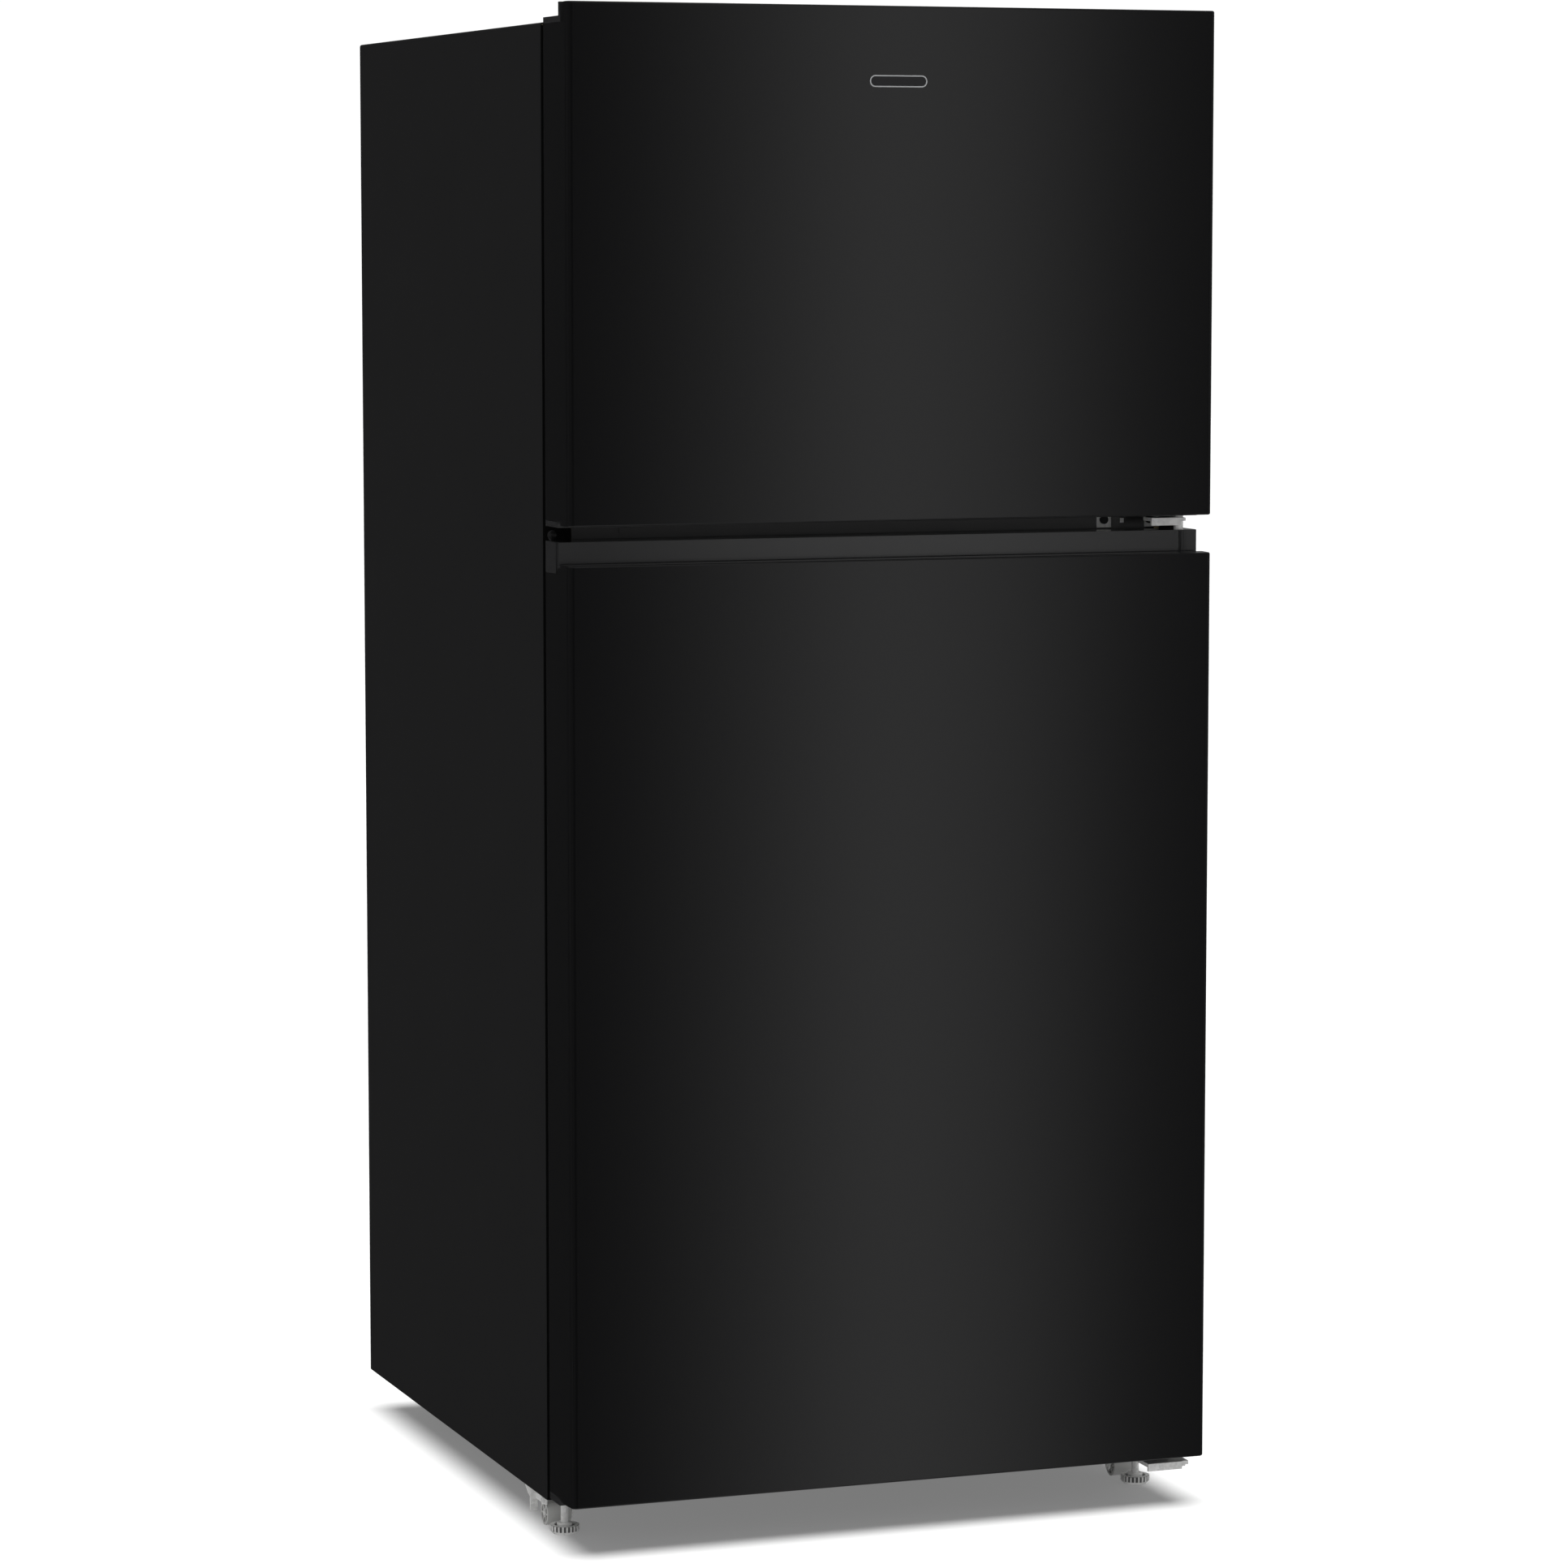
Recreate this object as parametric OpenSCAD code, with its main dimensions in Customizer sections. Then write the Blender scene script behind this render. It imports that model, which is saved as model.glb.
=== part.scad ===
// Top freezer refrigerator: a steel cabinet with two foamed doors on right-hand hinges,
// on two levelling feet in front and two rollers behind.
// Frame: +X right, +Y to the back, +Z up. Origin on the floor, under the middle of the whole box.
// Depths on a door are counted from its front face; door_y() turns them into Y.

/* [Cabinet] */
// Width of the cabinet and of the doors
width = 702; // [690:2:740]
// Depth of the cabinet without the doors
cabinet_depth = 675; // [670:5:700]
// Height of the cabinet's top above the floor
cabinet_top = 1550; // [1545:1:1570]
// Height of the cabinet's underside above the floor
cabinet_bottom = 43; // [43:1:44]
// Wrapper sheet
sheet = 1.2; // [1:0.1:1.4]
// Width of the steel lip that the door seals close on
front_lip = 28; // [24:1:30]
// Foam beside the fresh food compartment
fridge_wall = 49; // [48:1:52]
// Foam beside the freezer
freezer_wall = 59; // [58:1:62]

/* [Doors] */
// Front face of the doors to the front of the cabinet
door_depth = 85; // [84:1:88]
// Thickness of a door without its seal
door_body = 76; // [75:0.5:77]
// Radius of a door's upright edges
door_edge = 6; // [4:0.5:8]
// Top of the freezer door
freezer_door_top = 1568; // [1566:1:1568]
// Lower edge of the freezer door's face
freezer_door_low = 1049; // [1048:1:1050]
// Upper edge of the fridge door's face
fridge_door_top = 1010; // [1009:1:1011]
// Lower edge of the fridge door's face
fridge_door_low = 52; // [51:1:53]
// Distance of the hinge line from the cabinet's right side
hinge_side = 18; // [17:0.5:19]
// Depth of the hinge line behind the doors' faces
hinge_in = 45; // [44:0.5:46]

/* [Compartments] */
// Floor of the fresh food compartment
fridge_floor = 95; // [94:1:98]
// Ceiling of the fresh food compartment
fridge_ceiling = 988; // [986:1:988]
// Floor of the freezer
freezer_floor = 1070; // [1070:1:1072]
// Ceiling of the freezer
freezer_ceiling = 1488; // [1480:1:1490]
// Top of the step over the machine compartment
step_top = 304; // [302:1:306]
// Heights of the two glass shelves
shelf_heights = [560, 760];

/* [Hidden] */
$fn = 48;
eps = 0.01;
half_w = width / 2;
front = -(door_depth + cabinet_depth) / 2;
face = front + door_depth;          // the cabinet's front plane
back = face + cabinet_depth;
hinge_x = half_w - hinge_side;
hinge_y = front + hinge_in;
pin_r = 5;
running = 0.05;                     // radial clearance of a pin in its hole
liner = 2;                          // thickness of the plastic liners
fridge_in = half_w - fridge_wall - liner;    // half width inside the fresh food compartment
freezer_in = half_w - freezer_wall - liner;  // half width inside the freezer
liner_back = back - 62;             // rear wall inside both compartments
step_face = 95;                     // front of the step, inside the compartment
machine_front = step_face + 45;     // front of the machine compartment
machine_top = step_top - 50;
rail_low = fridge_ceiling + liner;
rail_high = freezer_floor - liner;
screw_z = 1041.5;                   // hinge screws between the doors
screw_x = half_w - 86.7;
outer_screw_x = half_w - 35;
seal_out = half_w - 20;             // outer edge of the seals
seal_w = 14;
seal_back = face - 0.4;
door_back = front + door_body;
cap_side = half_w - sheet - 0.2;    // a cap's plug, inside the skin
fill = door_body - 2.4;             // depth of what lies between a door's face and its liner
grip = [300, 8, 34];                // finger pocket: half width, and depths of its two walls
foot_x = half_w - 28.4;
foot_y = face + 31;
foot_r = 15.6;
stud_r = 4;
roller_r = 12.5;
axle_r = 2.5;
front_roller_y = face + 65;
front_roller_z = 13.5;
rear_roller_y = back - 50;
roller_x = [-half_w + 17, -half_w + 43];     // the left front roller's two ends
rear_in = 55;                       // how much further in the rear rollers run
fan_z = 1400;                       // freezer fan
fan_y = liner_back - 46;
cooling_fan = [-20, 262, 140];      // condenser fan's hub
compressor_at = [-170, 262];
bin_back = front + 185;             // how far the fridge door's bins reach in
drawer = [8, 272, -183, 88, 99, 298];        // right drawer: x, y and z limits
dairy = [-258, -22, front + door_body + 0.2, front + 176, 836, 930];
dairy_pivot = [dairy[3] - 6, dairy[5] - 9];
knob_at = [60, -95, 966];
plunger_at = [-half_w + 43, 900];

// ---- helpers ----

function door_y(p) = front + p;

// a block between its lowest and highest corners
module block(lo, hi) { translate(lo) cube(hi - lo); }

// a block that is symmetric about the middle plane: half width, then y and z limits
module span(half, y, z) { block([-half, y[0], z[0]], [half, y[1], z[1]]); }

// an outline in (y, z), run along X
module along_x(x0, x1, points) {
  translate([x0, 0, 0]) rotate([90, 0, 90]) linear_extrude(x1 - x0) polygon(points);
}

// a rod between two coordinates on an axis
module rod_x(x0, x1, y, z, r) { translate([x0, y, z]) rotate([0, 90, 0]) cylinder(h = x1 - x0, r = r); }
module rod_y(y0, y1, x, z, r) { translate([x, y0, z]) rotate([-90, 0, 0]) cylinder(h = y1 - y0, r = r); }
module rod_z(z0, z1, x, y, r) { translate([x, y, z0]) cylinder(h = z1 - z0, r = r); }

// its child and the child's mirror image on the left
module both_sides() { children(); mirror([1, 0, 0]) children(); }

// an open tray: outer corners and wall; open at the top
module tray(lo, hi, wall) {
  difference() {
    block(lo, hi);
    block(lo + [wall, wall, wall], hi + [-wall, -wall, 1]);
  }
}

// ---- cabinet ----

// side walls and top in one folded sheet, with the lips that the doors close on
module cabinet_shell() {
  color([0.11, 0.11, 0.11]) difference() {
    span(half_w, [face, back], [cabinet_bottom, cabinet_top]);
    span(half_w - sheet, [face + sheet, back + 1], [cabinet_bottom - 1, cabinet_top - sheet]);
    span(half_w - front_lip, [face - 1, face + sheet + 1],
         [cabinet_bottom - 1, cabinet_top - front_lip]);
  }
}

module back_panel() {
  ribs = [-210, -70, 70, 210];
  color([0.45, 0.46, 0.47]) {
    span(half_w - sheet - 0.3, [back - 5, back - 3], [machine_top + 4, cabinet_top - sheet - 0.3]);
    for (x = ribs) block([x - 12, back - 3, machine_top + 60], [x + 12, back - 1.5, cabinet_top - 80]);
  }
}

// steel floor with the folded front rail, holes for the studs and for the compressor's bolts
module base_pan() {
  inner = half_w - sheet - 0.3;
  color([0.12, 0.12, 0.12]) difference() {
    union() {
      span(inner, [face + sheet + 0.3, back - 6], [cabinet_bottom, cabinet_bottom + 2]);
      span(half_w - front_lip - 0.2, [face, face + 2], [cabinet_bottom, fridge_floor - liner - 2]);
      span(half_w - front_lip - 0.2, [face, face + 6], [cabinet_bottom, cabinet_bottom + 2]);
      both_sides() block([inner - 2, machine_front, cabinet_bottom], [inner, back - 6, cabinet_bottom + 22]);
    }
    both_sides() rod_z(cabinet_bottom - 1, cabinet_bottom + 3, foot_x, foot_y, stud_r + 2);
  }
}

// the foam, as the panels between the wrapper and the two liners
module cabinet_insulation() {
  skin = 0.3;
  out_x = half_w - sheet - skin;
  y0 = face + 3;
  y1 = back - 5.3;
  liner_y = liner_back + liner + skin;
  top = cabinet_top - sheet - skin;
  low = cabinet_bottom + 2 + skin;
  cold_x = freezer_in + liner + skin;
  cool_x = fridge_in + liner + skin;
  joint = 0.2;                      // seam between two panels
  middle = (rail_low + rail_high) / 2;
  step_y = machine_front - skin;
  color([0.93, 0.86, 0.62]) {
    both_sides() difference() {
      union() {
        block([cold_x, y0, rail_low + joint], [out_x, y1, top]);
        block([cool_x, y0, machine_top + joint], [out_x, y1, rail_low]);
        block([cool_x, y0, low], [out_x, step_y, machine_top + joint]);
      }
      rod_z(low - 1, low + 30, foot_x, foot_y, stud_r + 3);
      rod_y(y0 - 1, y0 + 32, -plunger_at[0], plunger_at[1], 7);
      rod_y(y0 - 1, y0 + 7, outer_screw_x, screw_z, 3);
    }
    span(cold_x - joint, [y0, y1], [freezer_ceiling + liner + skin, top]);
    difference() {
      span(cold_x - joint, [y0, y1], [rail_low + joint, rail_high - skin]);
      both_sides() rod_y(y0 - 1, y0 + 7, screw_x, screw_z, 3);
    }
    span(cold_x - joint, [liner_y, y1], [rail_high - skin + joint, freezer_ceiling + liner + skin - joint]);
    span(cool_x - joint, [liner_y, y1], [step_top - liner, rail_low]);
    span(cool_x - joint, [step_face + liner + skin, y1], [machine_top, step_top - liner - skin]);
    span(cool_x - joint, [step_face + liner + skin, step_y], [low, machine_top - joint]);
    difference() {
      span(cool_x - joint, [y0, step_face + liner], [low, fridge_floor - liner - skin]);
      both_sides() rod_z(low - 1, low + 30, foot_x, foot_y, stud_r + 3);
    }
  }
}

// white inside of the fresh food compartment, with its step and shelf ledges
module fridge_liner() {
  lip = half_w - front_lip - 0.2;
  front_y = face + 2 + 0.2;
  outer = [[front_y, fridge_floor - liner], [step_face + liner, fridge_floor - liner],
    [step_face + liner, step_top - liner], [liner_back + liner, step_top - liner],
    [liner_back + liner, fridge_ceiling + liner], [front_y, fridge_ceiling + liner]];
  inner = [[front_y - 1, fridge_floor], [step_face, fridge_floor], [step_face, step_top],
    [liner_back, step_top], [liner_back, fridge_ceiling], [front_y - 1, fridge_ceiling]];
  color([0.95, 0.96, 0.96]) difference() {
    union() {
      difference() {
        along_x(-fridge_in - liner, fridge_in + liner, outer);
        along_x(-fridge_in, fridge_in, inner);
      }
      both_sides() block([fridge_in, face, fridge_floor - liner], [lip, face + 3, fridge_ceiling + liner]);
      both_sides() for (z = concat(shelf_heights, [step_top + 22]))
        block([fridge_in - 11, -175, z - 8], [fridge_in + 0.5, liner_back, z - 2]);
    }
    rod_y(face - 1, face + 40, plunger_at[0], plunger_at[1], 4 + running);
  }
}

module freezer_liner() {
  lip = half_w - front_lip - 0.2;
  color([0.95, 0.96, 0.96]) {
    difference() {
      span(freezer_in + liner, [face + 2.2, liner_back + liner],
           [freezer_floor - liner, freezer_ceiling + liner]);
      span(freezer_in, [face, liner_back], [freezer_floor, freezer_ceiling]);
    }
    both_sides() block([freezer_in, face, freezer_floor - liner],
                       [lip, face + 3, cabinet_top - front_lip - 0.2]);
    span(freezer_in + 1, [face, face + 3], [freezer_ceiling, cabinet_top - front_lip - 0.2]);
    both_sides() block([freezer_in - 8, -185, 1262], [freezer_in + 0.5, fan_y - 14, 1268]);
  }
}

// folded steel rail across the front between the two compartments
module mullion_rail() {
  color([0.12, 0.12, 0.12]) difference() {
    span(half_w - front_lip - 0.2, [face, face + 2.7], [rail_low + 0.2, rail_high - 0.2]);
    span(half_w - front_lip + 1, [face + sheet, face + 4], [rail_low + 4, rail_high - 4]);
    both_sides() rod_y(face - 1, face + 3, screw_x, screw_z, 3);
    both_sides() rod_y(face - 1, face + 3, outer_screw_x, screw_z, 3);
  }
}

// black strip over the rail, seen between the doors, with round holes and the hinge's windows
module mullion_cover() {
  low = 1014;
  high = 1051;
  end_x = half_w - 29;
  color([0.07, 0.07, 0.07]) difference() {
    span(end_x, [face - 3.6, face - 0.2], [low, high]);
    span(end_x - 2, [face - 1.8, face], [low + 2, high - 2]);
    rod_y(face - 5, face + 1, -screw_x, screw_z, 7);
    block([screw_x - 8.5, face - 5, 1033.2], [screw_x + 8.5, face + 1, high - 2.2]);
    block([half_w - 68.7, face - 5, 1037.8], [half_w - 63.8, face + 1, 1042.8]);
    block([half_w - 41, face - 5, low - 1], [half_w, face + 1, high + 1]);
    block([screw_x - 10.5, face - 2.2, 1032], [half_w, face + 1, high + 1]);
  }
}

// buttons in the spare hinge holes, for when the doors hang on the other side
module hinge_hole_plugs() {
  color([0.05, 0.05, 0.05]) difference() {
    union() {
      rod_y(face - 4.4, face - 3.7, -screw_x, screw_z, 7.4);
      rod_y(face - 3.8, face - 0.6, -screw_x, screw_z, 6.8);
      rod_y(face - 0.7, face + 2, -screw_x, screw_z, 2.8);
    }
    rod_y(face - 5, face - 4, -screw_x, screw_z, 4.6);
  }
  color([0.05, 0.05, 0.05]) intersection() {
    translate([-half_w + 9.5, face + 2, 1036.5]) sphere(8);
    rod_y(face - 6, face - 0.1, -half_w + 9.5, 1036.5, 5.5);
  }
}

// ---- hinges ----

// plate over the freezer door with its pin; its arm leans left, clear of the opening door's corner
module top_hinge() {
  plate_z = cabinet_top + 5;
  reach = face + 14 - hinge_y;
  color([0.72, 0.73, 0.74]) difference() {
    union() {
      translate([hinge_x, hinge_y, plate_z]) linear_extrude(3) {
        circle(10);
        polygon([[-10, 0], [9, 0], [-17, reach], [-34, reach]]);
      }
      block([hinge_x - 34, face + 10, plate_z], [hinge_x + 13, face + 14, plate_z + 3]);
      block([hinge_x - 34, face + 11, cabinet_top], [hinge_x + 13, face + 14, plate_z + 3]);
      block([hinge_x - 34, face + 11, cabinet_top], [hinge_x + 13, face + 62, cabinet_top + 3]);
      rod_z(cabinet_top - 12, plate_z + 5, hinge_x, hinge_y, pin_r);
    }
    for (x = [hinge_x - 24, hinge_x + 2]) rod_z(cabinet_top - 1, cabinet_top + 4, x, face + 38, 3);
  }
}

module top_hinge_cover() {
  lo = [hinge_x - 38, face + 4, cabinet_top + 0.2];
  hi = [half_w - 1, face + 72, freezer_door_top - 1];
  color([0.06, 0.06, 0.06]) difference() {
    block(lo, hi);
    block(lo + [2, 2, -1], hi - [2, 2, 2]);
    block([hinge_x - 36, face, cabinet_top], [hinge_x + 16, face + 8, cabinet_top + 9]);
  }
}

// bracket between the doors: back plate on the rail, arm, folded edge, and one pin through the arm
module center_hinge() {
  arm_low = 1036.6;
  arm_top = 1044.6;
  left = hinge_x - 34;
  color([0.80, 0.80, 0.80]) difference() {
    union() {
      block([screw_x - 9.5, face - 2, 1033.2], [half_w - 6, face - 0.1, 1053]);
      block([left, hinge_y - pin_r - 2.5, arm_top - 3.5], [hinge_x + pin_r, hinge_y + 14, arm_top]);
      block([hinge_x - 10, hinge_y, arm_top - 3.5], [hinge_x + pin_r, face - 0.1, arm_top]);
      block([left, hinge_y - pin_r - 2.5, arm_low], [hinge_x, hinge_y - pin_r + 0.5, arm_top]);
      rod_z(fridge_door_top - 20, freezer_door_low + 14, hinge_x, hinge_y, pin_r);
    }
    rod_y(face - 3, face + 1, screw_x, screw_z, 2.6);
    rod_y(face - 3, face + 1, outer_screw_x, screw_z, 2.6);
  }
}

// bracket under the fridge door: plate under the floor, folded front edge, and the lower pin
module bottom_hinge() {
  top = cabinet_bottom - 0.2;
  low = top - 4;
  left = half_w - 55;
  color([0.80, 0.80, 0.80]) difference() {
    union() {
      block([left, door_y(23), low], [half_w - 8, face + 18, top]);
      block([left, door_y(21), low - 4], [half_w - 16, door_y(24), top]);
      rod_z(low - 3, fridge_door_low + 14, hinge_x, hinge_y, pin_r);
      rod_z(low - 3, low, half_w - 11, door_y(31), 3);
    }
    for (x = [left + 10, half_w - 20]) rod_z(low - 1, top + 1, x, face + 10, 2.6);
  }
}

// pan-head screws of the three hinges
module hinge_screws() {
  head = 4.6;
  color([0.35, 0.35, 0.36]) {
    for (x = [screw_x, outer_screw_x]) {
      rod_y(face - 4.2, face - 2.02, x, screw_z, head);
      rod_y(face - 2.03, face + 8, x, screw_z, 2.5);
    }
    for (x = [hinge_x - 24, hinge_x + 2]) {
      rod_z(cabinet_top + 3.02, cabinet_top + 5.6, x, face + 38, head + 0.8);
      rod_z(cabinet_top + 0.3, cabinet_top + 3.03, x, face + 38, 2.9);
    }
    for (x = [half_w - 45, half_w - 20]) {
      rod_z(cabinet_bottom - 6.6, cabinet_bottom - 4.22, x, face + 10, head);
      rod_z(cabinet_bottom - 4.23, cabinet_bottom - 0.2, x, face + 10, 2.5);
    }
  }
}

// ---- rollers and feet ----

// channel under the floor that holds a roller and the stud's nut; the left one
module roller_channel(axle_y, axle_z, y0, y1) {
  top = cabinet_bottom - 0.2;
  cheeks = [[roller_x[0] - 3.5, roller_x[0] - 1.5], [roller_x[1] + 1.5, roller_x[1] + 3.5]];
  block([cheeks[0][0], y0, top - 2.5], [cheeks[1][1], y1, top]);
  for (c = cheeks) {
    along_x(c[0], c[1], [[axle_y - 20, top], [axle_y - 14, axle_z + 8], [axle_y - 5.5, axle_z],
      [axle_y + 5.5, axle_z], [axle_y + 22, axle_z + 4], [axle_y + 46, axle_z + 11],
      [axle_y + 56, axle_z + 18], [axle_y + 56, top]]);
    rod_x(c[0], c[1], axle_y, axle_z, 5.5);
  }
  rod_x(cheeks[0][0] - 1.2, cheeks[1][1] + 1.2, axle_y, axle_z, axle_r);
}

module front_roller_brackets() {
  top = cabinet_bottom - 0.2;
  color([0.78, 0.78, 0.77]) both_sides() mirror([1, 0, 0]) difference() {
    union() {
      roller_channel(front_roller_y, front_roller_z, foot_y - 13, front_roller_y + 56);
      rod_z(top - 8, top, -foot_x, foot_y, 8);
      block([roller_x[0] - 9.5, front_roller_y + 18, 12.5], [roller_x[0] - 1.5, front_roller_y + 20, top]);
      rod_x(roller_x[0] - 6, roller_x[0] - 3, front_roller_y - 11, 30, 4.4);
    }
    rod_z(0, top + 1, -foot_x, foot_y, stud_r + 0.06);
    rod_x(roller_x[0] - 7, roller_x[0] - 4.5, front_roller_y - 11, 30, 2.4);
  }
}

module rear_roller_brackets() {
  color([0.70, 0.70, 0.70]) both_sides() mirror([1, 0, 0])
    mirror([0, 1, 0]) translate([rear_in, -2 * rear_roller_y, 0])
      roller_channel(rear_roller_y, roller_r, rear_roller_y - 22, rear_roller_y + 56);
}

// one left-hand roller with spoked ends, turning on its axle
module roller(inward, y, z) {
  len = roller_x[1] - roller_x[0];
  hub = 4.6;
  rim = roller_r - 2.6;
  translate([roller_x[0] + inward, y, z]) rotate([90, 0, 90]) difference() {
    cylinder(h = len, r = roller_r);
    for (end = [-1, len - 11]) translate([0, 0, end]) linear_extrude(12) difference() {
      circle(rim);
      circle(hub);
      for (a = [0 : 60 : 300]) rotate(a) translate([0, -1]) square([rim + 1, 2]);
    }
    translate([0, 0, -1]) cylinder(h = len + 2, r = axle_r + running);
  }
}
module left_front_roller() {
  color([0.74, 0.74, 0.74]) roller(0, front_roller_y, front_roller_z);
}
module right_front_roller() {
  color([0.74, 0.74, 0.74]) mirror([1, 0, 0]) roller(0, front_roller_y, front_roller_z);
}
module left_rear_roller() {
  color([0.74, 0.74, 0.74]) roller(rear_in, rear_roller_y, roller_r);
}
module right_rear_roller() {
  color([0.74, 0.74, 0.74]) mirror([1, 0, 0]) roller(rear_in, rear_roller_y, roller_r);
}

// screwed foot: knurled wheel with a chamfered sole, collar and stud
module leveling_foot(side) {
  ribs = 22;
  color([0.78, 0.78, 0.78]) translate([side * foot_x, foot_y, 0]) {
    rotate_extrude() polygon([[0, 0], [foot_r - 3, 0], [foot_r - 1, 2.6], [foot_r - 1, 8.6],
      [foot_r - 4.6, 8.6], [foot_r - 4.6, 7], [8, 7], [8, 10.4], [7, 11.2], [0, 11.2]]);
    translate([0, 0, 2.8]) linear_extrude(5.6) difference() {
      for (i = [0 : ribs - 1]) rotate(i * 360 / ribs) translate([foot_r - 2, -0.95]) square([2, 1.9]);
      circle(foot_r - 1.8);
    }
    rod_z(11, cabinet_bottom + 22, 0, 0, stud_r);
  }
}
module left_leveling_foot() { leveling_foot(-1); }
module right_leveling_foot() { leveling_foot(1); }

// ---- machine compartment ----

module compressor() {
  r = 76;
  z0 = cabinet_bottom + 16;
  color([0.06, 0.06, 0.06]) translate([compressor_at[0], compressor_at[1], 0]) {
    rotate_extrude() {
      translate([0, z0 + 30]) square([r, 86]);
      translate([0, z0 + 30]) intersection() { circle(r); translate([0, -24]) square([r, 24]); }
      translate([0, z0 + 116]) intersection() { circle(r); translate([0, 0]) square([r, 50]); }
      translate([0, z0 + 70]) square([r + 3, 5]);
    }
    block([-92, -60, z0 - 0.2], [92, -46, z0 + 3]);
    block([-92, 46, z0 - 0.2], [92, 60, z0 + 3]);
    for (x = [-40, 30]) block([x, -60, z0], [x + 10, 60, z0 + 14]);
    rod_x(r - 12, r + 16, 0, z0 + 96, 5);
    rod_x(-r - 14, -r + 12, 20, z0 + 60, 4);
  }
}

module compressor_mounts() {
  z0 = cabinet_bottom + 2;
  color([0.09, 0.09, 0.09]) translate([compressor_at[0], compressor_at[1], 0])
    for (x = [-82, 82], y = [-53, 53]) difference() {
      union() {
        rod_z(z0 + 0.1, z0 + 13.6, x, y, 10);
        rod_z(z0 + 6, z0 + 8, x, y, 12);
      }
      rod_z(z0 - 1, z0 + 15, x, y, 4);
    }
}

module start_relay() {
  x = compressor_at[0] + 80;
  color([0.08, 0.08, 0.09]) difference() {
    union() {
      block([x, 236, 92], [x + 32, 282, 142]);
      block([x + 6, 246, 88], [x + 26, 272, 92.5]);
    }
    block([x + 30, 244, 100], [x + 33, 274, 134]);
  }
}

// two rows of tube bent into runs, one behind the other, with plates across them
module condenser() {
  x0 = 96;
  x1 = 286;
  pitch = 26;
  runs = 6;
  tube = 4;
  z0 = 96;
  color([0.10, 0.10, 0.10]) for (y = [232, 292]) {
    for (i = [0 : runs - 1]) rod_x(x0, x1, y, z0 + i * pitch, tube);
    for (i = [0 : runs - 2]) {
      right = i % 2 == 0;
      translate([right ? x1 : x0, y, z0 + (i + 0.5) * pitch])
        rotate([90, 0, 0]) rotate([0, 0, right ? -90 : 90])
          rotate_extrude(angle = 180) translate([pitch / 2, 0]) circle(tube);
    }
    for (x = [x0 + 14 : 18 : x1 - 8])
      block([x - 0.5, y - 9, z0 - 7], [x + 0.5, y + 9, z0 + (runs - 1) * pitch + 7]);
  }
}

// motor of the fan that draws air over the condenser, on its shroud
module condenser_fan_motor() {
  x = cooling_fan[0];
  y = cooling_fan[1];
  z = cooling_fan[2];
  color([0.30, 0.31, 0.32]) {
    rod_x(x + 16, x + 50, y, z, 26);
    rod_x(x - 10, x + 17, y, z, 3);
    block([x + 26, y - 96, z - 4], [x + 34, y - 20, z + 4]);
    block([x + 26, y + 20, z - 4], [x + 34, y + 96, z + 4]);
    difference() {
      block([x - 14, y - 98, cabinet_bottom + 2.2], [x + 34, y + 98, z + 98]);
      block([x - 12, y - 96, cabinet_bottom + 1], [x + 35, y + 96, z + 96]);
      rod_x(x - 15, x - 11, y, z, 80);
    }
  }
}

module drain_pan() {
  color([0.20, 0.20, 0.21]) tray([74, 168, cabinet_bottom + 2.3], [326, 352, cabinet_bottom + 34], 2);
}

// perforated cover behind the machine compartment
module rear_access_cover() {
  color([0.16, 0.16, 0.16]) difference() {
    span(half_w - sheet - 1, [back - 5, back - 3], [cabinet_bottom + 2.2, machine_top + 2]);
    for (x = [-300 : 24 : 180], z = [92, 162]) block([x, back - 6, z], [x + 8, back - 2, z + 54]);
    rod_y(back - 6, back - 2, 270, 150, 9 + running);
  }
}

// bush that the supply cord passes through
module cord_gland() {
  color([0.05, 0.05, 0.05]) difference() {
    union() {
      rod_y(back - 13, back - 1, 270, 150, 9);
      rod_y(back - 3, back - 0.5, 270, 150, 12);
    }
    rod_y(back - 14, back, 270, 150, 4.5);
  }
}

// ---- freezer inside ----

module evaporator() {
  y = liner_back - 24;
  color([0.78, 0.79, 0.80]) {
    for (x = [-240 : 20 : 240]) block([x - 0.5, y - 14, 1092], [x + 0.5, y + 14, 1292]);
    for (i = [0 : 4]) {
      z = 1110 + i * 40;
      rod_x(-262, 262, y, z, 4);
    }
    for (i = [0 : 3]) {
      right = i % 2 == 0;
      translate([right ? 262 : -262, y, 1130 + i * 40]) rotate([90, 0, 0])
        rotate([0, 0, right ? -90 : 90]) rotate_extrude(angle = 180) translate([20, 0]) circle(4);
    }
  }
}

module evaporator_cover() {
  y = fan_y - 10;
  color([0.94, 0.95, 0.95]) difference() {
    span(freezer_in - 0.4, [y - 3, y], [freezer_floor + 0.4, freezer_ceiling - 0.4]);
    rod_y(y - 4, y + 1, 0, fan_z, 55);
    for (i = [-5 : 5]) block([i * 46 - 16, y - 4, 1082], [i * 46 + 16, y + 1, 1088]);
  }
}

// fan motor on a bracket behind the cover, with the grille in front of the fan
module evaporator_fan_motor() {
  y = fan_y;
  color([0.90, 0.91, 0.91]) {
    rod_y(y + 16, y + 40, 0, fan_z, 20);
    rod_y(y - 4, y + 17, 0, fan_z, 2);
    block([-64, y + 38, fan_z - 8], [64, y + 41, fan_z + 8]);
    for (s = [-1, 1]) block([s * 62 - 2, y - 9.8, fan_z - 8], [s * 62 + 2, y + 41, fan_z + 8]);
    difference() {
      rod_y(y - 16, y - 13.2, 0, fan_z, 60);
      for (r = [16 : 10 : 46]) translate([0, y - 12, fan_z]) rotate([90, 0, 0]) linear_extrude(6)
        difference() {
          circle(r + 7);
          circle(r);
          for (a = [0, 90]) rotate(a) square([130, 6], center = true);
        }
    }
  }
}

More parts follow.
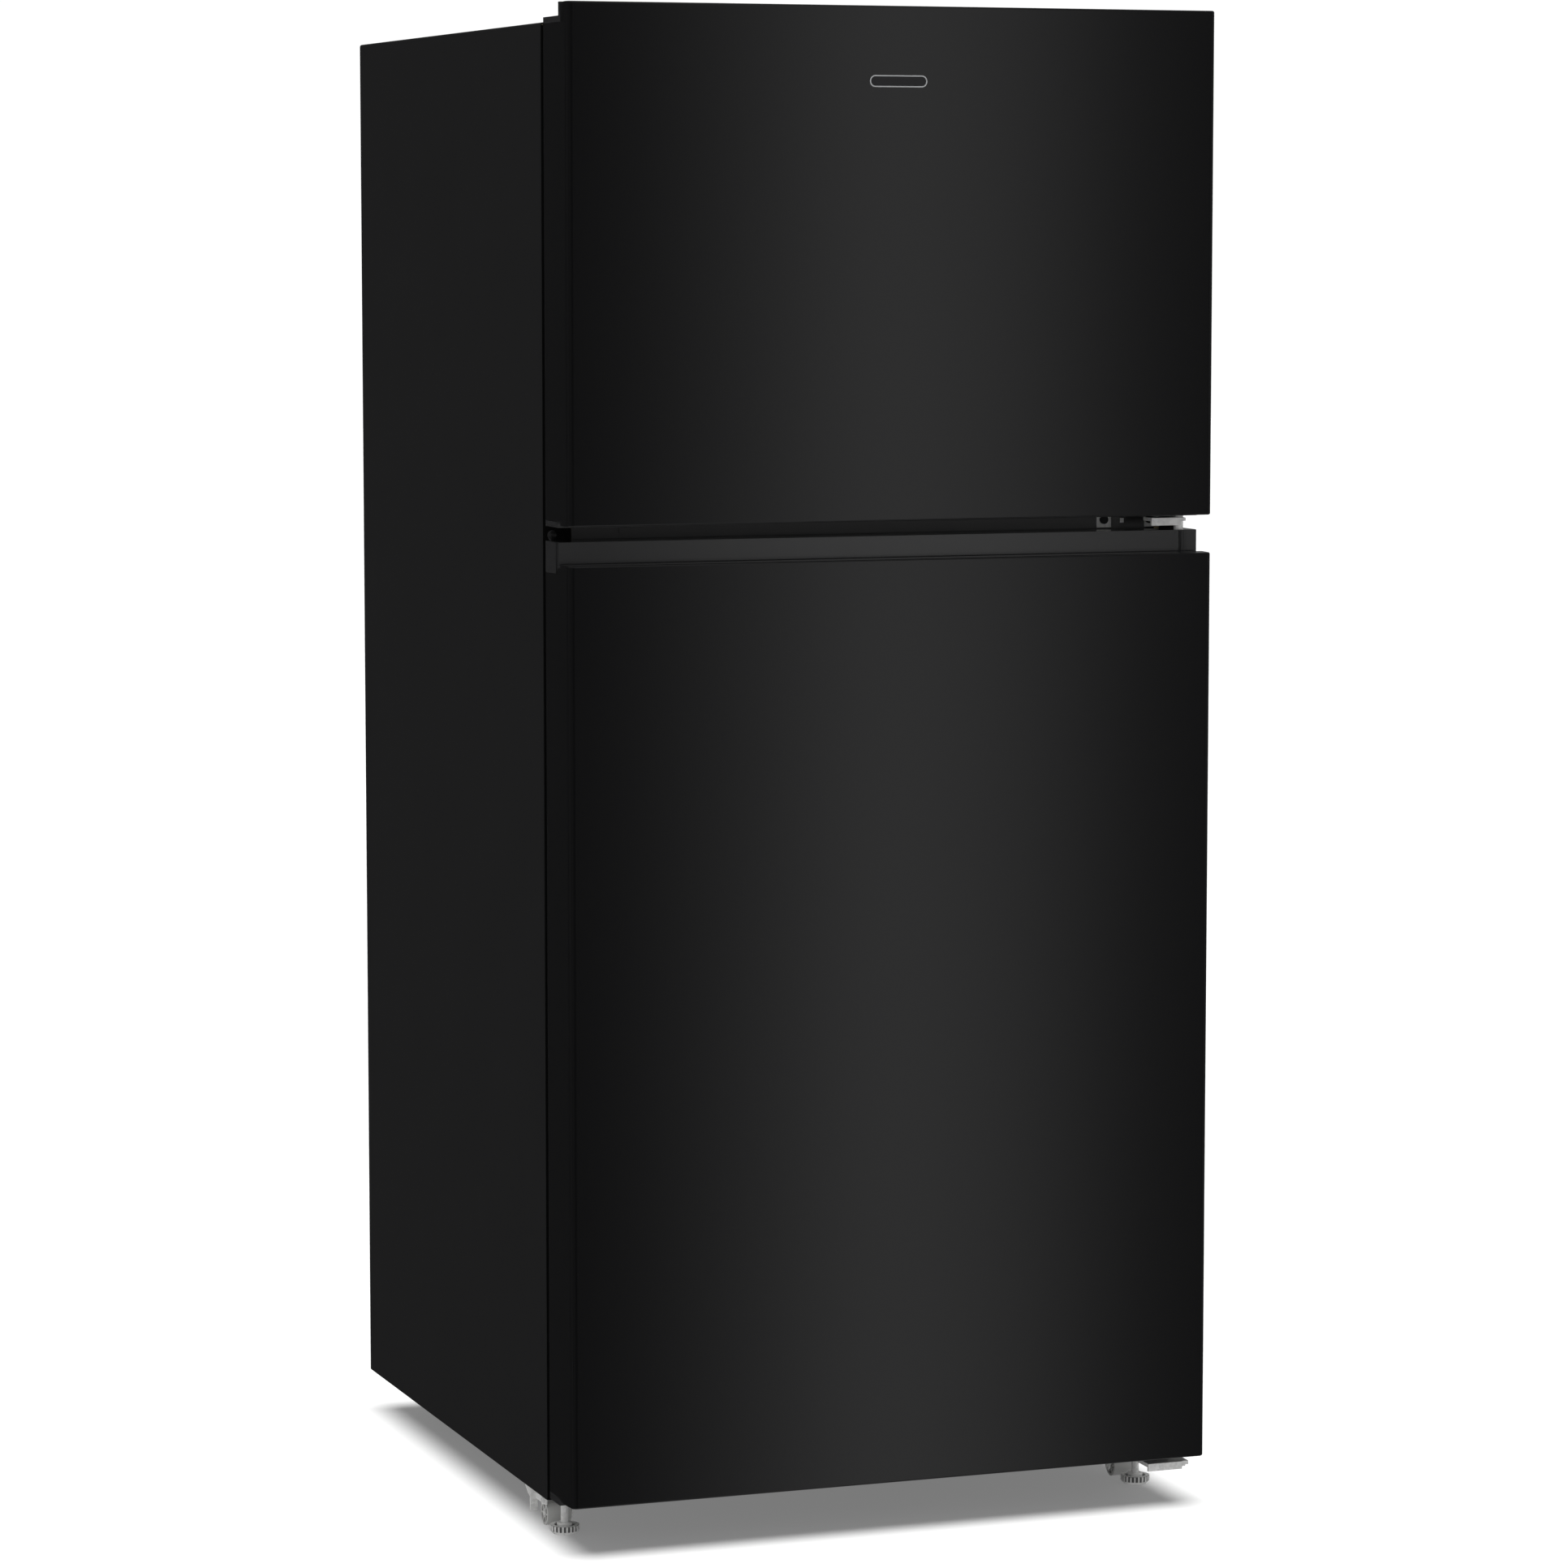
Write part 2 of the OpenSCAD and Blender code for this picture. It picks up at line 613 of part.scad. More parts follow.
// propeller: hub and pitched blades about its own Z axis, for a shaft of the given radius
module propeller(r, hub, depth, blades, shaft) {
  difference() {
    union() {
      cylinder(h = depth, r = hub);
      for (i = [0 : blades - 1]) rotate(i * 360 / blades)
        translate([hub - 2, 0, depth / 2]) rotate([28, 0, 0])
          translate([0, -r * 0.36, -0.9]) cube([r - hub, r * 0.72, 1.8]);
    }
    translate([0, 0, -1]) cylinder(h = depth + 2, r = shaft + running);
  }
}
module evaporator_fan() {
  color([0.25, 0.25, 0.26]) translate([0, fan_y + 12, fan_z]) rotate([90, 0, 0]) propeller(48, 12, 14, 5, 2);
}
module condenser_fan() {
  color([0.12, 0.12, 0.13]) translate([cooling_fan[0] - 8, cooling_fan[1], cooling_fan[2]])
    rotate([0, 90, 0]) propeller(74, 17, 20, 5, 3);
}

// welded wire shelf
module freezer_shelf() {
  x = freezer_in - 3;
  y0 = -180;
  y1 = fan_y - 22;
  z = 1272;
  color([0.93, 0.93, 0.93]) {
    for (y = [y0, y1]) rod_x(-x, x, y, z, 3);
    for (s = [-1, 1]) rod_y(y0, y1, s * x, z, 3);
    for (i = [-11 : 11]) rod_y(y0 - 1, y1 + 1, i * 24, z + 2.5, 1.5);
    rod_x(-x, x, 20, z, 2.5);
  }
}

// ---- fresh food compartment inside ----

// two shelves and the cover over the drawers: three equal panes
module glass_shelves() {
  color([0.75, 0.85, 0.83, 0.5]) for (z = concat(shelf_heights, [step_top + 22]))
    span(fridge_in - 8, [-166, liner_back - 12], [z, z + 4]);
}

// front and rear trims of the glass shelves and of the cover over the drawers
module shelf_frames() {
  x = fridge_in - 1.5;
  cover_z = step_top + 22;
  color([0.92, 0.93, 0.93]) {
    for (z = concat(shelf_heights, [cover_z])) {
      difference() {
        span(x, [-176, -158], [z - 1.8, z + 9]);
        span(fridge_in - 7.6, [-166.3, -150], [z - 0.2, z + 4.3]);
        span(x - 20, [-150 - 16, -150], [z - 5, z - 0.4]);
      }
      span(x, [liner_back - 11.6, liner_back - 2], [z - 1.8, z + 22]);
    }
    block([-3, -170, drawer[5] + 2], [3, 90, cover_z - 2]);
    block([-3, -150, fridge_floor + 0.2], [3, 90, drawer[5] + 2.2]);
  }
}

// box on the ceiling that holds the thermostat and the lamp
module control_housing() {
  x = 140;
  y0 = knob_at[1];
  color([0.90, 0.91, 0.92]) difference() {
    along_x(-x, x, [[y0, fridge_ceiling - 0.2], [y0, 950], [y0 + 30, 938], [y0 + 150, 938],
      [y0 + 165, fridge_ceiling - 0.2]]);
    along_x(-x + 3, x - 3, [[y0 + 3, fridge_ceiling], [y0 + 3, 952], [y0 + 31, 941],
      [y0 + 148, 941], [y0 + 162, fridge_ceiling]]);
    rod_y(y0 - 1, y0 + 5, knob_at[0], knob_at[2], 4 + running);
    block([-110, y0 - 1, 954], [-10, y0 + 5, 982]);
    for (i = [0 : 7]) block([-60 + i * 16, y0 + 60, 930], [-54 + i * 16, y0 + 130, 945]);
  }
}

module lamp_lens() {
  y = knob_at[1];
  color([0.97, 0.96, 0.90, 0.8]) difference() {
    block([-109.8, y - 3, 954.2], [-10.2, y + 3.5, 981.8]);
    block([-107, y - 1, 957], [-13, y + 4, 979]);
  }
}

module temperature_knob() {
  y = knob_at[1];
  color([0.88, 0.89, 0.90]) difference() {
    union() {
      rod_y(y - 5, y - 0.4, knob_at[0], knob_at[2], 15);
      rod_y(y - 14, y - 4.9, knob_at[0], knob_at[2], 12);
      rod_y(y - 0.5, y + 12, knob_at[0], knob_at[2], 4);
      block([knob_at[0] - 2, y - 17, knob_at[2] - 11], [knob_at[0] + 2, y - 13.9, knob_at[2] + 11]);
    }
    rod_y(y + 6, y + 13, knob_at[0], knob_at[2], 2);
  }
}

// button that the closed door holds in
module light_switch_plunger() {
  color([0.93, 0.93, 0.92]) {
    rod_y(face - 8.6, face + 24, plunger_at[0], plunger_at[1], 4);
    rod_y(face + 12, face + 14, plunger_at[0], plunger_at[1], 5.6);
  }
}

// vegetable drawer with a thicker front and a scooped grip; the right one
module crisper_drawer() {
  x0 = drawer[0];
  x1 = drawer[1];
  y0 = drawer[2];
  y1 = drawer[3];
  z0 = drawer[4];
  z1 = drawer[5];
  difference() {
    union() {
      tray([x0 + 5, y0 + 8, z0], [x1 - 5, y1, z1 - 14], 2.5);
      block([x0, y0, z0], [x1, y0 + 11, z1]);
      for (x = [x0, x1 - 7.4]) block([x, y0 + 9, z1 - 16.5], [x + 7.4, y1, z1 - 14]);
    }
    block([x0 + 40, y0 + 4, z1 - 26], [x1 - 40, y0 + 12, z1 - 5]);
    block([x0 + 40, y0 - 1, z1 - 20], [x1 - 40, y0 + 5, z1 - 8]);
  }
}
module right_crisper_drawer() { color([0.85, 0.90, 0.92, 0.6]) crisper_drawer(); }
module left_crisper_drawer() { color([0.85, 0.90, 0.92, 0.6]) mirror([1, 0, 0]) crisper_drawer(); }

// ---- doors ----

// plan of a door with rounded front edges, taken in by a distance
module door_plan(inset) {
  hw = half_w - inset;
  y0 = front + inset;
  r = door_edge - inset;
  translate([-hw, y0 + r]) square([2 * hw, door_body - inset - r]);
  translate([-hw + r, y0]) square([2 * (hw - r), r + 1]);
  for (s = [-1, 1]) translate([s * (hw - r), y0 + r]) circle(r);
}

// folded steel face and sides of a door
module door_skin(z0, z1) {
  translate([0, 0, z0]) linear_extrude(z1 - z0) difference() {
    door_plan(0);
    door_plan(sheet);
    translate([-half_w + 6, front + door_body - 12]) square([width - 12, 30]);
  }
}

// what fills a door inside its skin, back to a depth
module door_fill(depth, z0, z1) {
  translate([0, 0, z0]) linear_extrude(z1 - z0) intersection() {
    door_plan(sheet + 0.2);
    translate([-half_w, front - 1]) square([width, depth + 1]);
  }
}

// boss around the hinge pin, and the same hole
module pin_boss(z0, z1) { rod_z(z0, z1, hinge_x, hinge_y, 10); }
module pin_hole(z0, z1) { rod_z(z0, z1, hinge_x, hinge_y, pin_r + running); }

module freezer_door_skin() {
  side_top = cabinet_top - 2;
  color([0.07, 0.07, 0.07]) difference() {
    door_skin(freezer_door_low, freezer_door_top);
    span(half_w + 1, [door_y(10), door_back + 1], [side_top, freezer_door_top + 1]);
    span(half_w + 1, [door_y(36), door_back + 1], [freezer_door_low - 1, freezer_door_low + 4]);
    span(half_w + 1, [door_y(26), door_back + 1], [freezer_door_low - 1, freezer_door_low + 2]);
  }
}

module freezer_door_top_cap() {
  side_top = cabinet_top - 2 + 0.2;
  step_z = cabinet_top + 4.5;
  top = freezer_door_top;
  plug = side_top - 12;
  color([0.06, 0.06, 0.06]) difference() {
    union() {
      door_fill(fill, plug, side_top + 0.1);
      span(half_w, [door_y(20), door_y(76)], [side_top, step_z]);
      intersection() {
        door_fill(26.5, side_top, top);
        span(half_w - 3, [front, face], [side_top, top]);
      }
      span(half_w, [door_y(20), door_y(26.5)], [side_top, top]);
    }
    span(half_w - 6, [door_y(4), door_y(fill - 2)], [plug - 1, side_top - 3]);
    block([hinge_x - 38, door_y(26.5), cabinet_top + 1], [half_w + 1, door_y(77), top + 1]);
    pin_hole(plug - 1, top + 1);
  }
  color([0.06, 0.06, 0.06]) difference() {
    pin_boss(plug, side_top - 2);
    pin_hole(plug - 1, side_top);
  }
}

module freezer_door_bottom_cap() {
  low = freezer_door_low + 1;
  plug = freezer_door_low + 4.2;
  deep = freezer_door_low + 34;
  color([0.06, 0.06, 0.06]) difference() {
    union() {
      door_fill(fill, plug, plug + 6);
      door_fill(38, low, plug + 0.1);
      span(half_w, [door_y(38), door_y(76)], [low - 3.4, plug - 0.4]);
      span(cap_side, [door_y(37), door_y(fill)], [low, plug + 0.1]);
      span(grip[0] + 3, [door_y(grip[1] - 3), door_y(grip[2] + 3)], [low, deep + 3]);
      pin_boss(low, plug + 14);
    }
    span(grip[0], [door_y(grip[1]), door_y(grip[2])], [low - 4, deep]);
    pin_hole(low - 5, plug + 11);
  }
}

module fridge_door_skin() {
  color([0.07, 0.07, 0.07]) difference() {
    door_skin(fridge_door_low, fridge_door_top);
    span(half_w + 1, [door_y(38), door_back + 1], [fridge_door_top - 10, fridge_door_top + 1]);
    span(half_w + 1, [door_y(26), door_back + 1], [fridge_door_top - 4, fridge_door_top + 1]);
    span(half_w + 1, [door_y(38), door_back + 1], [fridge_door_low - 1, fridge_door_low + 3]);
  }
}

// upper cap of the fridge door: ledge behind the face, finger pocket, and the raised back part
module fridge_door_top_cap() {
  top = fridge_door_top;
  raised = top + 22;
  deep = top - 32;
  color([0.07, 0.07, 0.07]) difference() {
    union() {
      difference() {
        union() {
          door_fill(fill, top - 10.2, top - 4.2);
          door_fill(40, top - 4.3, top - 1.4);
          span(half_w, [door_y(42), door_y(76)], [top - 9.8, raised]);
          span(cap_side, [door_y(36), door_y(43)], [top - 5, raised]);
          span(grip[0] + 3, [door_y(grip[1] - 3), door_y(grip[2] + 3)], [deep - 3, top - 5]);
        }
        span(grip[0], [door_y(grip[1]), door_y(grip[2])], [deep, top + 1]);
        span(half_w - 5, [door_y(40), door_y(72)], [top - 11, raised - 3]);
      }
      pin_boss(top - 24, raised - 1);
    }
    pin_hole(top - 21, raised + 1);
  }
}

module fridge_door_bottom_cap() {
  low = fridge_door_low + 1;
  plug = fridge_door_low + 3.2;
  color([0.06, 0.06, 0.06]) difference() {
    union() {
      door_fill(fill, plug, plug + 7);
      door_fill(32, low, plug + 0.1);
      span(half_w, [door_y(42), door_y(76)], [low - 6, plug - 0.4]);
      span(cap_side, [door_y(43), door_y(fill)], [low, plug + 0.1]);
      pin_boss(low, plug + 14);
    }
    pin_hole(low - 7, plug + 11);
  }
}

// foam between a door's skin, caps and liner, clear of the finger pocket and the hinge bosses
module freezer_door_insulation() {
  z0 = freezer_door_low + 10.4;
  z1 = cabinet_top - 14;
  color([0.93, 0.86, 0.62]) difference() {
    door_fill(fill, z0, z1);
    span(grip[0] + 3.2, [door_y(0), door_y(grip[2] + 3.2)], [z0 - 1, freezer_door_low + 38]);
    rod_z(z0 - 1, freezer_door_low + 24, hinge_x, hinge_y, 11);
  }
}

module fridge_door_insulation() {
  z0 = fridge_door_low + 10.4;
  z1 = fridge_door_top - 10.4;
  color([0.93, 0.86, 0.62]) difference() {
    door_fill(fill, z0, z1);
    span(grip[0] + 3.2, [door_y(0), door_y(grip[2] + 3.2)], [fridge_door_top - 36, z1 + 1]);
    rod_z(z0 - 1, fridge_door_low + 24, hinge_x, hinge_y, 11);
    rod_z(fridge_door_top - 28, z1 + 1, hinge_x, hinge_y, 11);
  }
}

// white inner panel of a door with the raised rim that the bins clip between
module door_liner(z0, z1, dyke_x, dyke_z0, dyke_z1) {
  dyke = 14;
  dyke_back = door_back + 34;
  span(half_w - 7, [door_back - 2.2, door_back], [z0, z1]);
  difference() {
    span(dyke_x, [door_back - 0.1, dyke_back], [dyke_z0, dyke_z1]);
    span(dyke_x - dyke, [door_back - 1, dyke_back + 1], [dyke_z0 + dyke, dyke_z1 - dyke]);
    both_sides() block([dyke_x - dyke + 2, door_back - 1, dyke_z0 + dyke],
                       [dyke_x - 2, dyke_back - 2, dyke_z1 - dyke]);
  }
}

module freezer_door_liner() {
  color([0.95, 0.96, 0.96]) door_liner(freezer_door_low + 4.6, cabinet_top - 2.4,
    freezer_in - 20, freezer_floor + 10, freezer_ceiling - 10);
}
module fridge_door_liner() {
  color([0.95, 0.96, 0.96]) door_liner(fridge_door_low + 3.6, fridge_door_top - 10.4,
    fridge_in - 20, fridge_floor + 10, fridge_ceiling - 12);
}

// magnetic seal: a soft frame with a groove round its outer side
module gasket(z0, z1) {
  mid = (door_back + seal_back) / 2;
  difference() {
    span(seal_out, [door_back + 0.2, seal_back], [z0, z1]);
    span(seal_out - seal_w, [door_back - 1, seal_back + 1], [z0 + seal_w, z1 - seal_w]);
    difference() {
      span(seal_out + 1, [mid - 1.6, mid + 1.6], [z0 - 1, z1 + 1]);
      span(seal_out - 4, [mid - 2, mid + 2], [z0 + 4, z1 - 4]);
    }
  }
}
module freezer_door_gasket() { color([0.16, 0.16, 0.16]) gasket(rail_high - 14, freezer_ceiling + 36); }
module fridge_door_gasket() { color([0.16, 0.16, 0.16]) gasket(fridge_floor - 29, rail_low + 19); }

// a door bin: tray with a thicker rim, and lugs that hang it between the sides of the liner's rim
module bin(x0, x1, y1, z0, z1) {
  tray([x0, door_back + 0.2, z0], [x1, y1, z1], 2.4);
  block([x0, y1 - 4, z1 - 12], [x1, y1, z1]);
  block([x0 - 2.8, door_back + 4, z1 - 40], [x0 + 0.1, door_back + 30, z1 - 20]);
  block([x1 - 0.1, door_back + 4, z1 - 40], [x1 + 2.8, door_back + 30, z1 - 20]);
}

module freezer_door_bins() {
  half = freezer_in - 37;
  color([0.85, 0.90, 0.92, 0.6]) for (z = [1096, 1290]) bin(-half, half, bin_back - 20, z, z + 70);
}

// three wide bins, a short one, and the dairy compartment that the cover closes
module fridge_door_bins() {
  half = fridge_in - 37;
  d = dairy;
  color([0.85, 0.90, 0.92, 0.6]) {
    for (b = [[122, 100], [360, 85], [590, 85]]) bin(-half, half, bin_back, b[0], b[0] + b[1]);
    bin(dairy[1] + 3, half, bin_back, dairy[4], dairy[4] + 85);
    difference() {
      block([d[0], d[2], d[4]], [d[1], d[3], d[5]]);
      block([d[0] + 2.5, d[2] - 1, d[4] + 2.5], [d[1] - 2.5, d[3] + 1, d[5] - 2.5]);
      rod_x(d[0] - 1, d[1] + 1, dairy_pivot[0], dairy_pivot[1], 2.5 + running);
    }
    block([d[0], d[2], d[4]], [d[1], d[2] + 2.4, d[5]]);
    block([d[0] - 7.8, d[2] + 4, d[4] + 20], [d[0] + 0.1, d[2] + 30, d[4] + 60]);
  }
}

module dairy_cover() {
  d = dairy;
  color([0.88, 0.93, 0.95, 0.6]) {
    block([d[0] + 3.2, dairy_pivot[0] - 1.5, d[4] + 4], [d[1] - 3.2, dairy_pivot[0] + 1.5, dairy_pivot[1]]);
    rod_x(d[0] + 0.6, d[1] - 0.6, dairy_pivot[0], dairy_pivot[1], 2.5);
    block([(d[0] + d[1]) / 2 - 40, dairy_pivot[0] + 1.4, d[4] + 6],
          [(d[0] + d[1]) / 2 + 40, dairy_pivot[0] + 7, d[4] + 9]);
  }
}

// plain badge, with no mark on it
module nameplate() {
  color([0.75, 0.76, 0.77]) translate([0, front, 1492.6]) rotate([90, 0, 0]) {
    linear_extrude(1.2) {
      square([50, 12], center = true);
      for (s = [-1, 1]) translate([s * 25, 0]) circle(6);
    }
  }
}

cabinet_shell();
back_panel();
base_pan();
cabinet_insulation();
fridge_liner();
freezer_liner();
mullion_rail();
mullion_cover();
hinge_hole_plugs();
top_hinge();
top_hinge_cover();
center_hinge();
bottom_hinge();
hinge_screws();
front_roller_brackets();
rear_roller_brackets();
compressor();
compressor_mounts();
start_relay();
condenser();
condenser_fan_motor();
drain_pan();
rear_access_cover();
cord_gland();
evaporator();
evaporator_cover();
evaporator_fan_motor();
freezer_shelf();
glass_shelves();
shelf_frames();
control_housing();
lamp_lens();
freezer_door_skin();
freezer_door_top_cap();
freezer_door_bottom_cap();
freezer_door_insulation();
freezer_door_liner();
freezer_door_gasket();
freezer_door_bins();
nameplate();
fridge_door_skin();
fridge_door_top_cap();
fridge_door_bottom_cap();
fridge_door_insulation();
fridge_door_liner();
fridge_door_gasket();
fridge_door_bins();
dairy_cover();
left_crisper_drawer();
right_crisper_drawer();
temperature_knob();
light_switch_plunger();
evaporator_fan();
condenser_fan();
left_front_roller();
right_front_roller();
left_rear_roller();
right_rear_roller();
left_leveling_foot();
right_leveling_foot();
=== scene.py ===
import math

import bpy
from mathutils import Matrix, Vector


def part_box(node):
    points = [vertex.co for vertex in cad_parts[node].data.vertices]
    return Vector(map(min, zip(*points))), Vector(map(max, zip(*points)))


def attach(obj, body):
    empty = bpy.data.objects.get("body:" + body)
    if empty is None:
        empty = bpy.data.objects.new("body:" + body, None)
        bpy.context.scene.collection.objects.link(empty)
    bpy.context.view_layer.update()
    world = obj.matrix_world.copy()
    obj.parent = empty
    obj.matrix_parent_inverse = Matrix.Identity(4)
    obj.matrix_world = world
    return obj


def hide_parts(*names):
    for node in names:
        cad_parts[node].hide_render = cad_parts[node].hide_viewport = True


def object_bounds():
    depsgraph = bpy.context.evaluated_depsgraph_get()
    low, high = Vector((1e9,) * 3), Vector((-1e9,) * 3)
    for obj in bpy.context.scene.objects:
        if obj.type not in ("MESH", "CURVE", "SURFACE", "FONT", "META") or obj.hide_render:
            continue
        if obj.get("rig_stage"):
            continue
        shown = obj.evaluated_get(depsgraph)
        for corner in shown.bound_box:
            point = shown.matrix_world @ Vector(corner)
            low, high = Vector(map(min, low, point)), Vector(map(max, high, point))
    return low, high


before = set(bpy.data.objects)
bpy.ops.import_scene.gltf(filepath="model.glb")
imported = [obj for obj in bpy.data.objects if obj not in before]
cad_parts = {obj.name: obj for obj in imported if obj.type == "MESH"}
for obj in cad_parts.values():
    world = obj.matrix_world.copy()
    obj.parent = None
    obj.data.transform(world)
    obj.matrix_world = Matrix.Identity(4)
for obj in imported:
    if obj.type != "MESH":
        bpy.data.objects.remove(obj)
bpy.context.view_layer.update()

# The room. A seamless white studio floor, and a long-lens camera set low and to the left, so that
# both doors and the cabinet's left side are seen.
scene = bpy.context.scene
scene.view_settings.view_transform = "Standard"

bpy.ops.object.select_all(action="DESELECT")
bpy.ops.object.camera_add(location=(-1.950, -5.395, 1.3393),
                          rotation=(math.radians(90 - 5.935), 0, math.radians(-20.02)))
camera = bpy.context.object
camera.data.lens = 121.45
camera.data.sensor_width = 36
scene.camera = camera

bpy.ops.mesh.primitive_plane_add(size=60, location=(0, 0, 0))
floor = bpy.context.object
floor.name = "studio_floor"
floor_paint = bpy.data.materials.new("studio_floor")
floor_paint.use_nodes = True
floor_shader = floor_paint.node_tree.nodes["Principled BSDF"]
floor_shader.inputs["Base Color"].default_value = (0.12, 0.12, 0.12, 1)
floor_shader.inputs["Emission Color"].default_value = (1, 1, 1, 1)
floor_shader.inputs["Emission Strength"].default_value = 0.19
floor_shader.inputs["Roughness"].default_value = 1.0
floor_shader.inputs["Specular IOR Level"].default_value = 0.0
floor.data.materials.append(floor_paint)
floor.visible_glossy = False
floor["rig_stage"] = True

# The light. White from all round for matt surfaces; glossy ones see a dark studio with tall soft
# panels in it, each a smooth band that stands upright, and paler ground above and below.
world = bpy.data.worlds.new("studio")
scene.world = world
world.use_nodes = True
sky = world.node_tree
sky.nodes.clear()
direction = sky.nodes.new("ShaderNodeTexCoord")
parts = sky.nodes.new("ShaderNodeSeparateXYZ")
flip = sky.nodes.new("ShaderNodeMath")
flip.operation = "MULTIPLY"
flip.inputs[1].default_value = -1
turn = sky.nodes.new("ShaderNodeMath")
turn.operation = "ARCTAN2"
spread = sky.nodes.new("ShaderNodeMapRange")
spread.inputs["From Min"].default_value = -math.pi
spread.inputs["From Max"].default_value = math.pi
panels = sky.nodes.new("ShaderNodeValToRGB")
sky.links.new(direction.outputs["Generated"], parts.inputs[0])
sky.links.new(parts.outputs["Y"], flip.inputs[0])
sky.links.new(parts.outputs["X"], turn.inputs[0])
sky.links.new(flip.outputs[0], turn.inputs[1])
sky.links.new(turn.outputs[0], spread.inputs["Value"])
sky.links.new(spread.outputs[0], panels.inputs[0])
ramp = panels.color_ramp
ramp.interpolation = "LINEAR"
# compass angle from straight ahead of the doors, positive to the right, and brightness seen there
bands = [(-180, 0.035), (-166, 0.024), (-148, 0.020), (-125, 0.035), (-92, 0.12), (-60, 0.05),
         (-45, 0.10), (-25, 0.05), (0, 0.04), (12, 0.015), (17.0, 0.010), (18.6, 0.11), (20.2, 0.46),
         (21.4, 0.84), (22.6, 0.50), (23.9, 0.13), (25.2, 0.04), (32, 0.04), (50, 0.16), (90, 0.10),
         (118, 0.08), (138, 0.34), (160, 0.12), (180, 0.030)]
while len(ramp.elements) < len(bands):
    ramp.elements.new(0.5)
for i, (angle, level) in enumerate(bands):
    ramp.elements[i].position = i / len(bands)
for element, (angle, level) in zip(ramp.elements, bands):
    element.position = (angle + 180) / 360
    element.color = (level, level, level, 1)
overhead = sky.nodes.new("ShaderNodeMapRange")
overhead.interpolation_type = "SMOOTHSTEP"
overhead.inputs["From Min"].default_value = 0.55
overhead.inputs["From Max"].default_value = 0.95
height = sky.nodes.new("ShaderNodeMath")
height.operation = "ABSOLUTE"
sky.links.new(parts.outputs["Z"], height.inputs[0])
sky.links.new(height.outputs[0], overhead.inputs["Value"])
studio = sky.nodes.new("ShaderNodeMix")
studio.data_type = "RGBA"
sky.links.new(overhead.outputs[0], studio.inputs["Factor"])
sky.links.new(panels.outputs["Color"], studio.inputs[6])
studio.inputs[7].default_value = (0.45, 0.45, 0.45, 1)
ray = sky.nodes.new("ShaderNodeLightPath")
soft_light = sky.nodes.new("ShaderNodeBackground")
soft_light.inputs["Color"].default_value = (1, 1, 1, 1)
soft_light.inputs["Strength"].default_value = 1.0
seen_gloss = sky.nodes.new("ShaderNodeBackground")
sky.links.new(studio.outputs[2], seen_gloss.inputs["Color"])
backdrop = sky.nodes.new("ShaderNodeBackground")
backdrop.inputs["Color"].default_value = (1, 1, 1, 1)
backdrop.inputs["Strength"].default_value = 1.05
choose_gloss = sky.nodes.new("ShaderNodeMixShader")
choose_camera = sky.nodes.new("ShaderNodeMixShader")
sky.links.new(ray.outputs["Is Glossy Ray"], choose_gloss.inputs[0])
sky.links.new(soft_light.outputs[0], choose_gloss.inputs[1])
sky.links.new(seen_gloss.outputs[0], choose_gloss.inputs[2])
sky.links.new(ray.outputs["Is Camera Ray"], choose_camera.inputs[0])
sky.links.new(choose_gloss.outputs[0], choose_camera.inputs[1])
sky.links.new(backdrop.outputs[0], choose_camera.inputs[2])
sky_out = sky.nodes.new("ShaderNodeOutputWorld")
sky.links.new(choose_camera.outputs[0], sky_out.inputs[0])

# a lamp straight above that only the floor takes, and a card that shades it, for the soft shadow
# right under the cabinet
bpy.ops.object.light_add(type="SUN", location=(0, 0, 4))
ceiling_lamp = bpy.context.object
ceiling_lamp.data.energy = 23
ceiling_lamp.data.angle = math.radians(5.5)
floor_only = bpy.data.collections.new("floor only")
floor_only.objects.link(floor)
ceiling_lamp.light_linking.receiver_collection = floor_only
bpy.ops.mesh.primitive_plane_add(size=1, location=(0, 0, 0.55))
card = bpy.context.object
card.name = "shade_card"
card.scale = (0.69, 0.75, 1)
for kind in ("camera", "diffuse", "glossy", "transmission", "volume_scatter"):
    setattr(card, "visible_" + kind, False)
card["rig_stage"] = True
card_only = bpy.data.collections.new("card only")
card_only.objects.link(card)
ceiling_lamp.light_linking.blocker_collection = card_only

# Cabinet wrapper. One sheet of painted steel folded into both sides and the top, with a narrow
# lip turned in round the front where the door seals close; finely textured black paint, and on the
# lip's front faces a near-black matt paint that is painted shade for the dark gap behind the doors.
def group_node(tree, group, **values):
    node = tree.nodes.new("ShaderNodeGroup")
    node.node_tree = group
    for name, value in values.items():
        node.inputs[name.replace("_", " ")].default_value = value
    return node


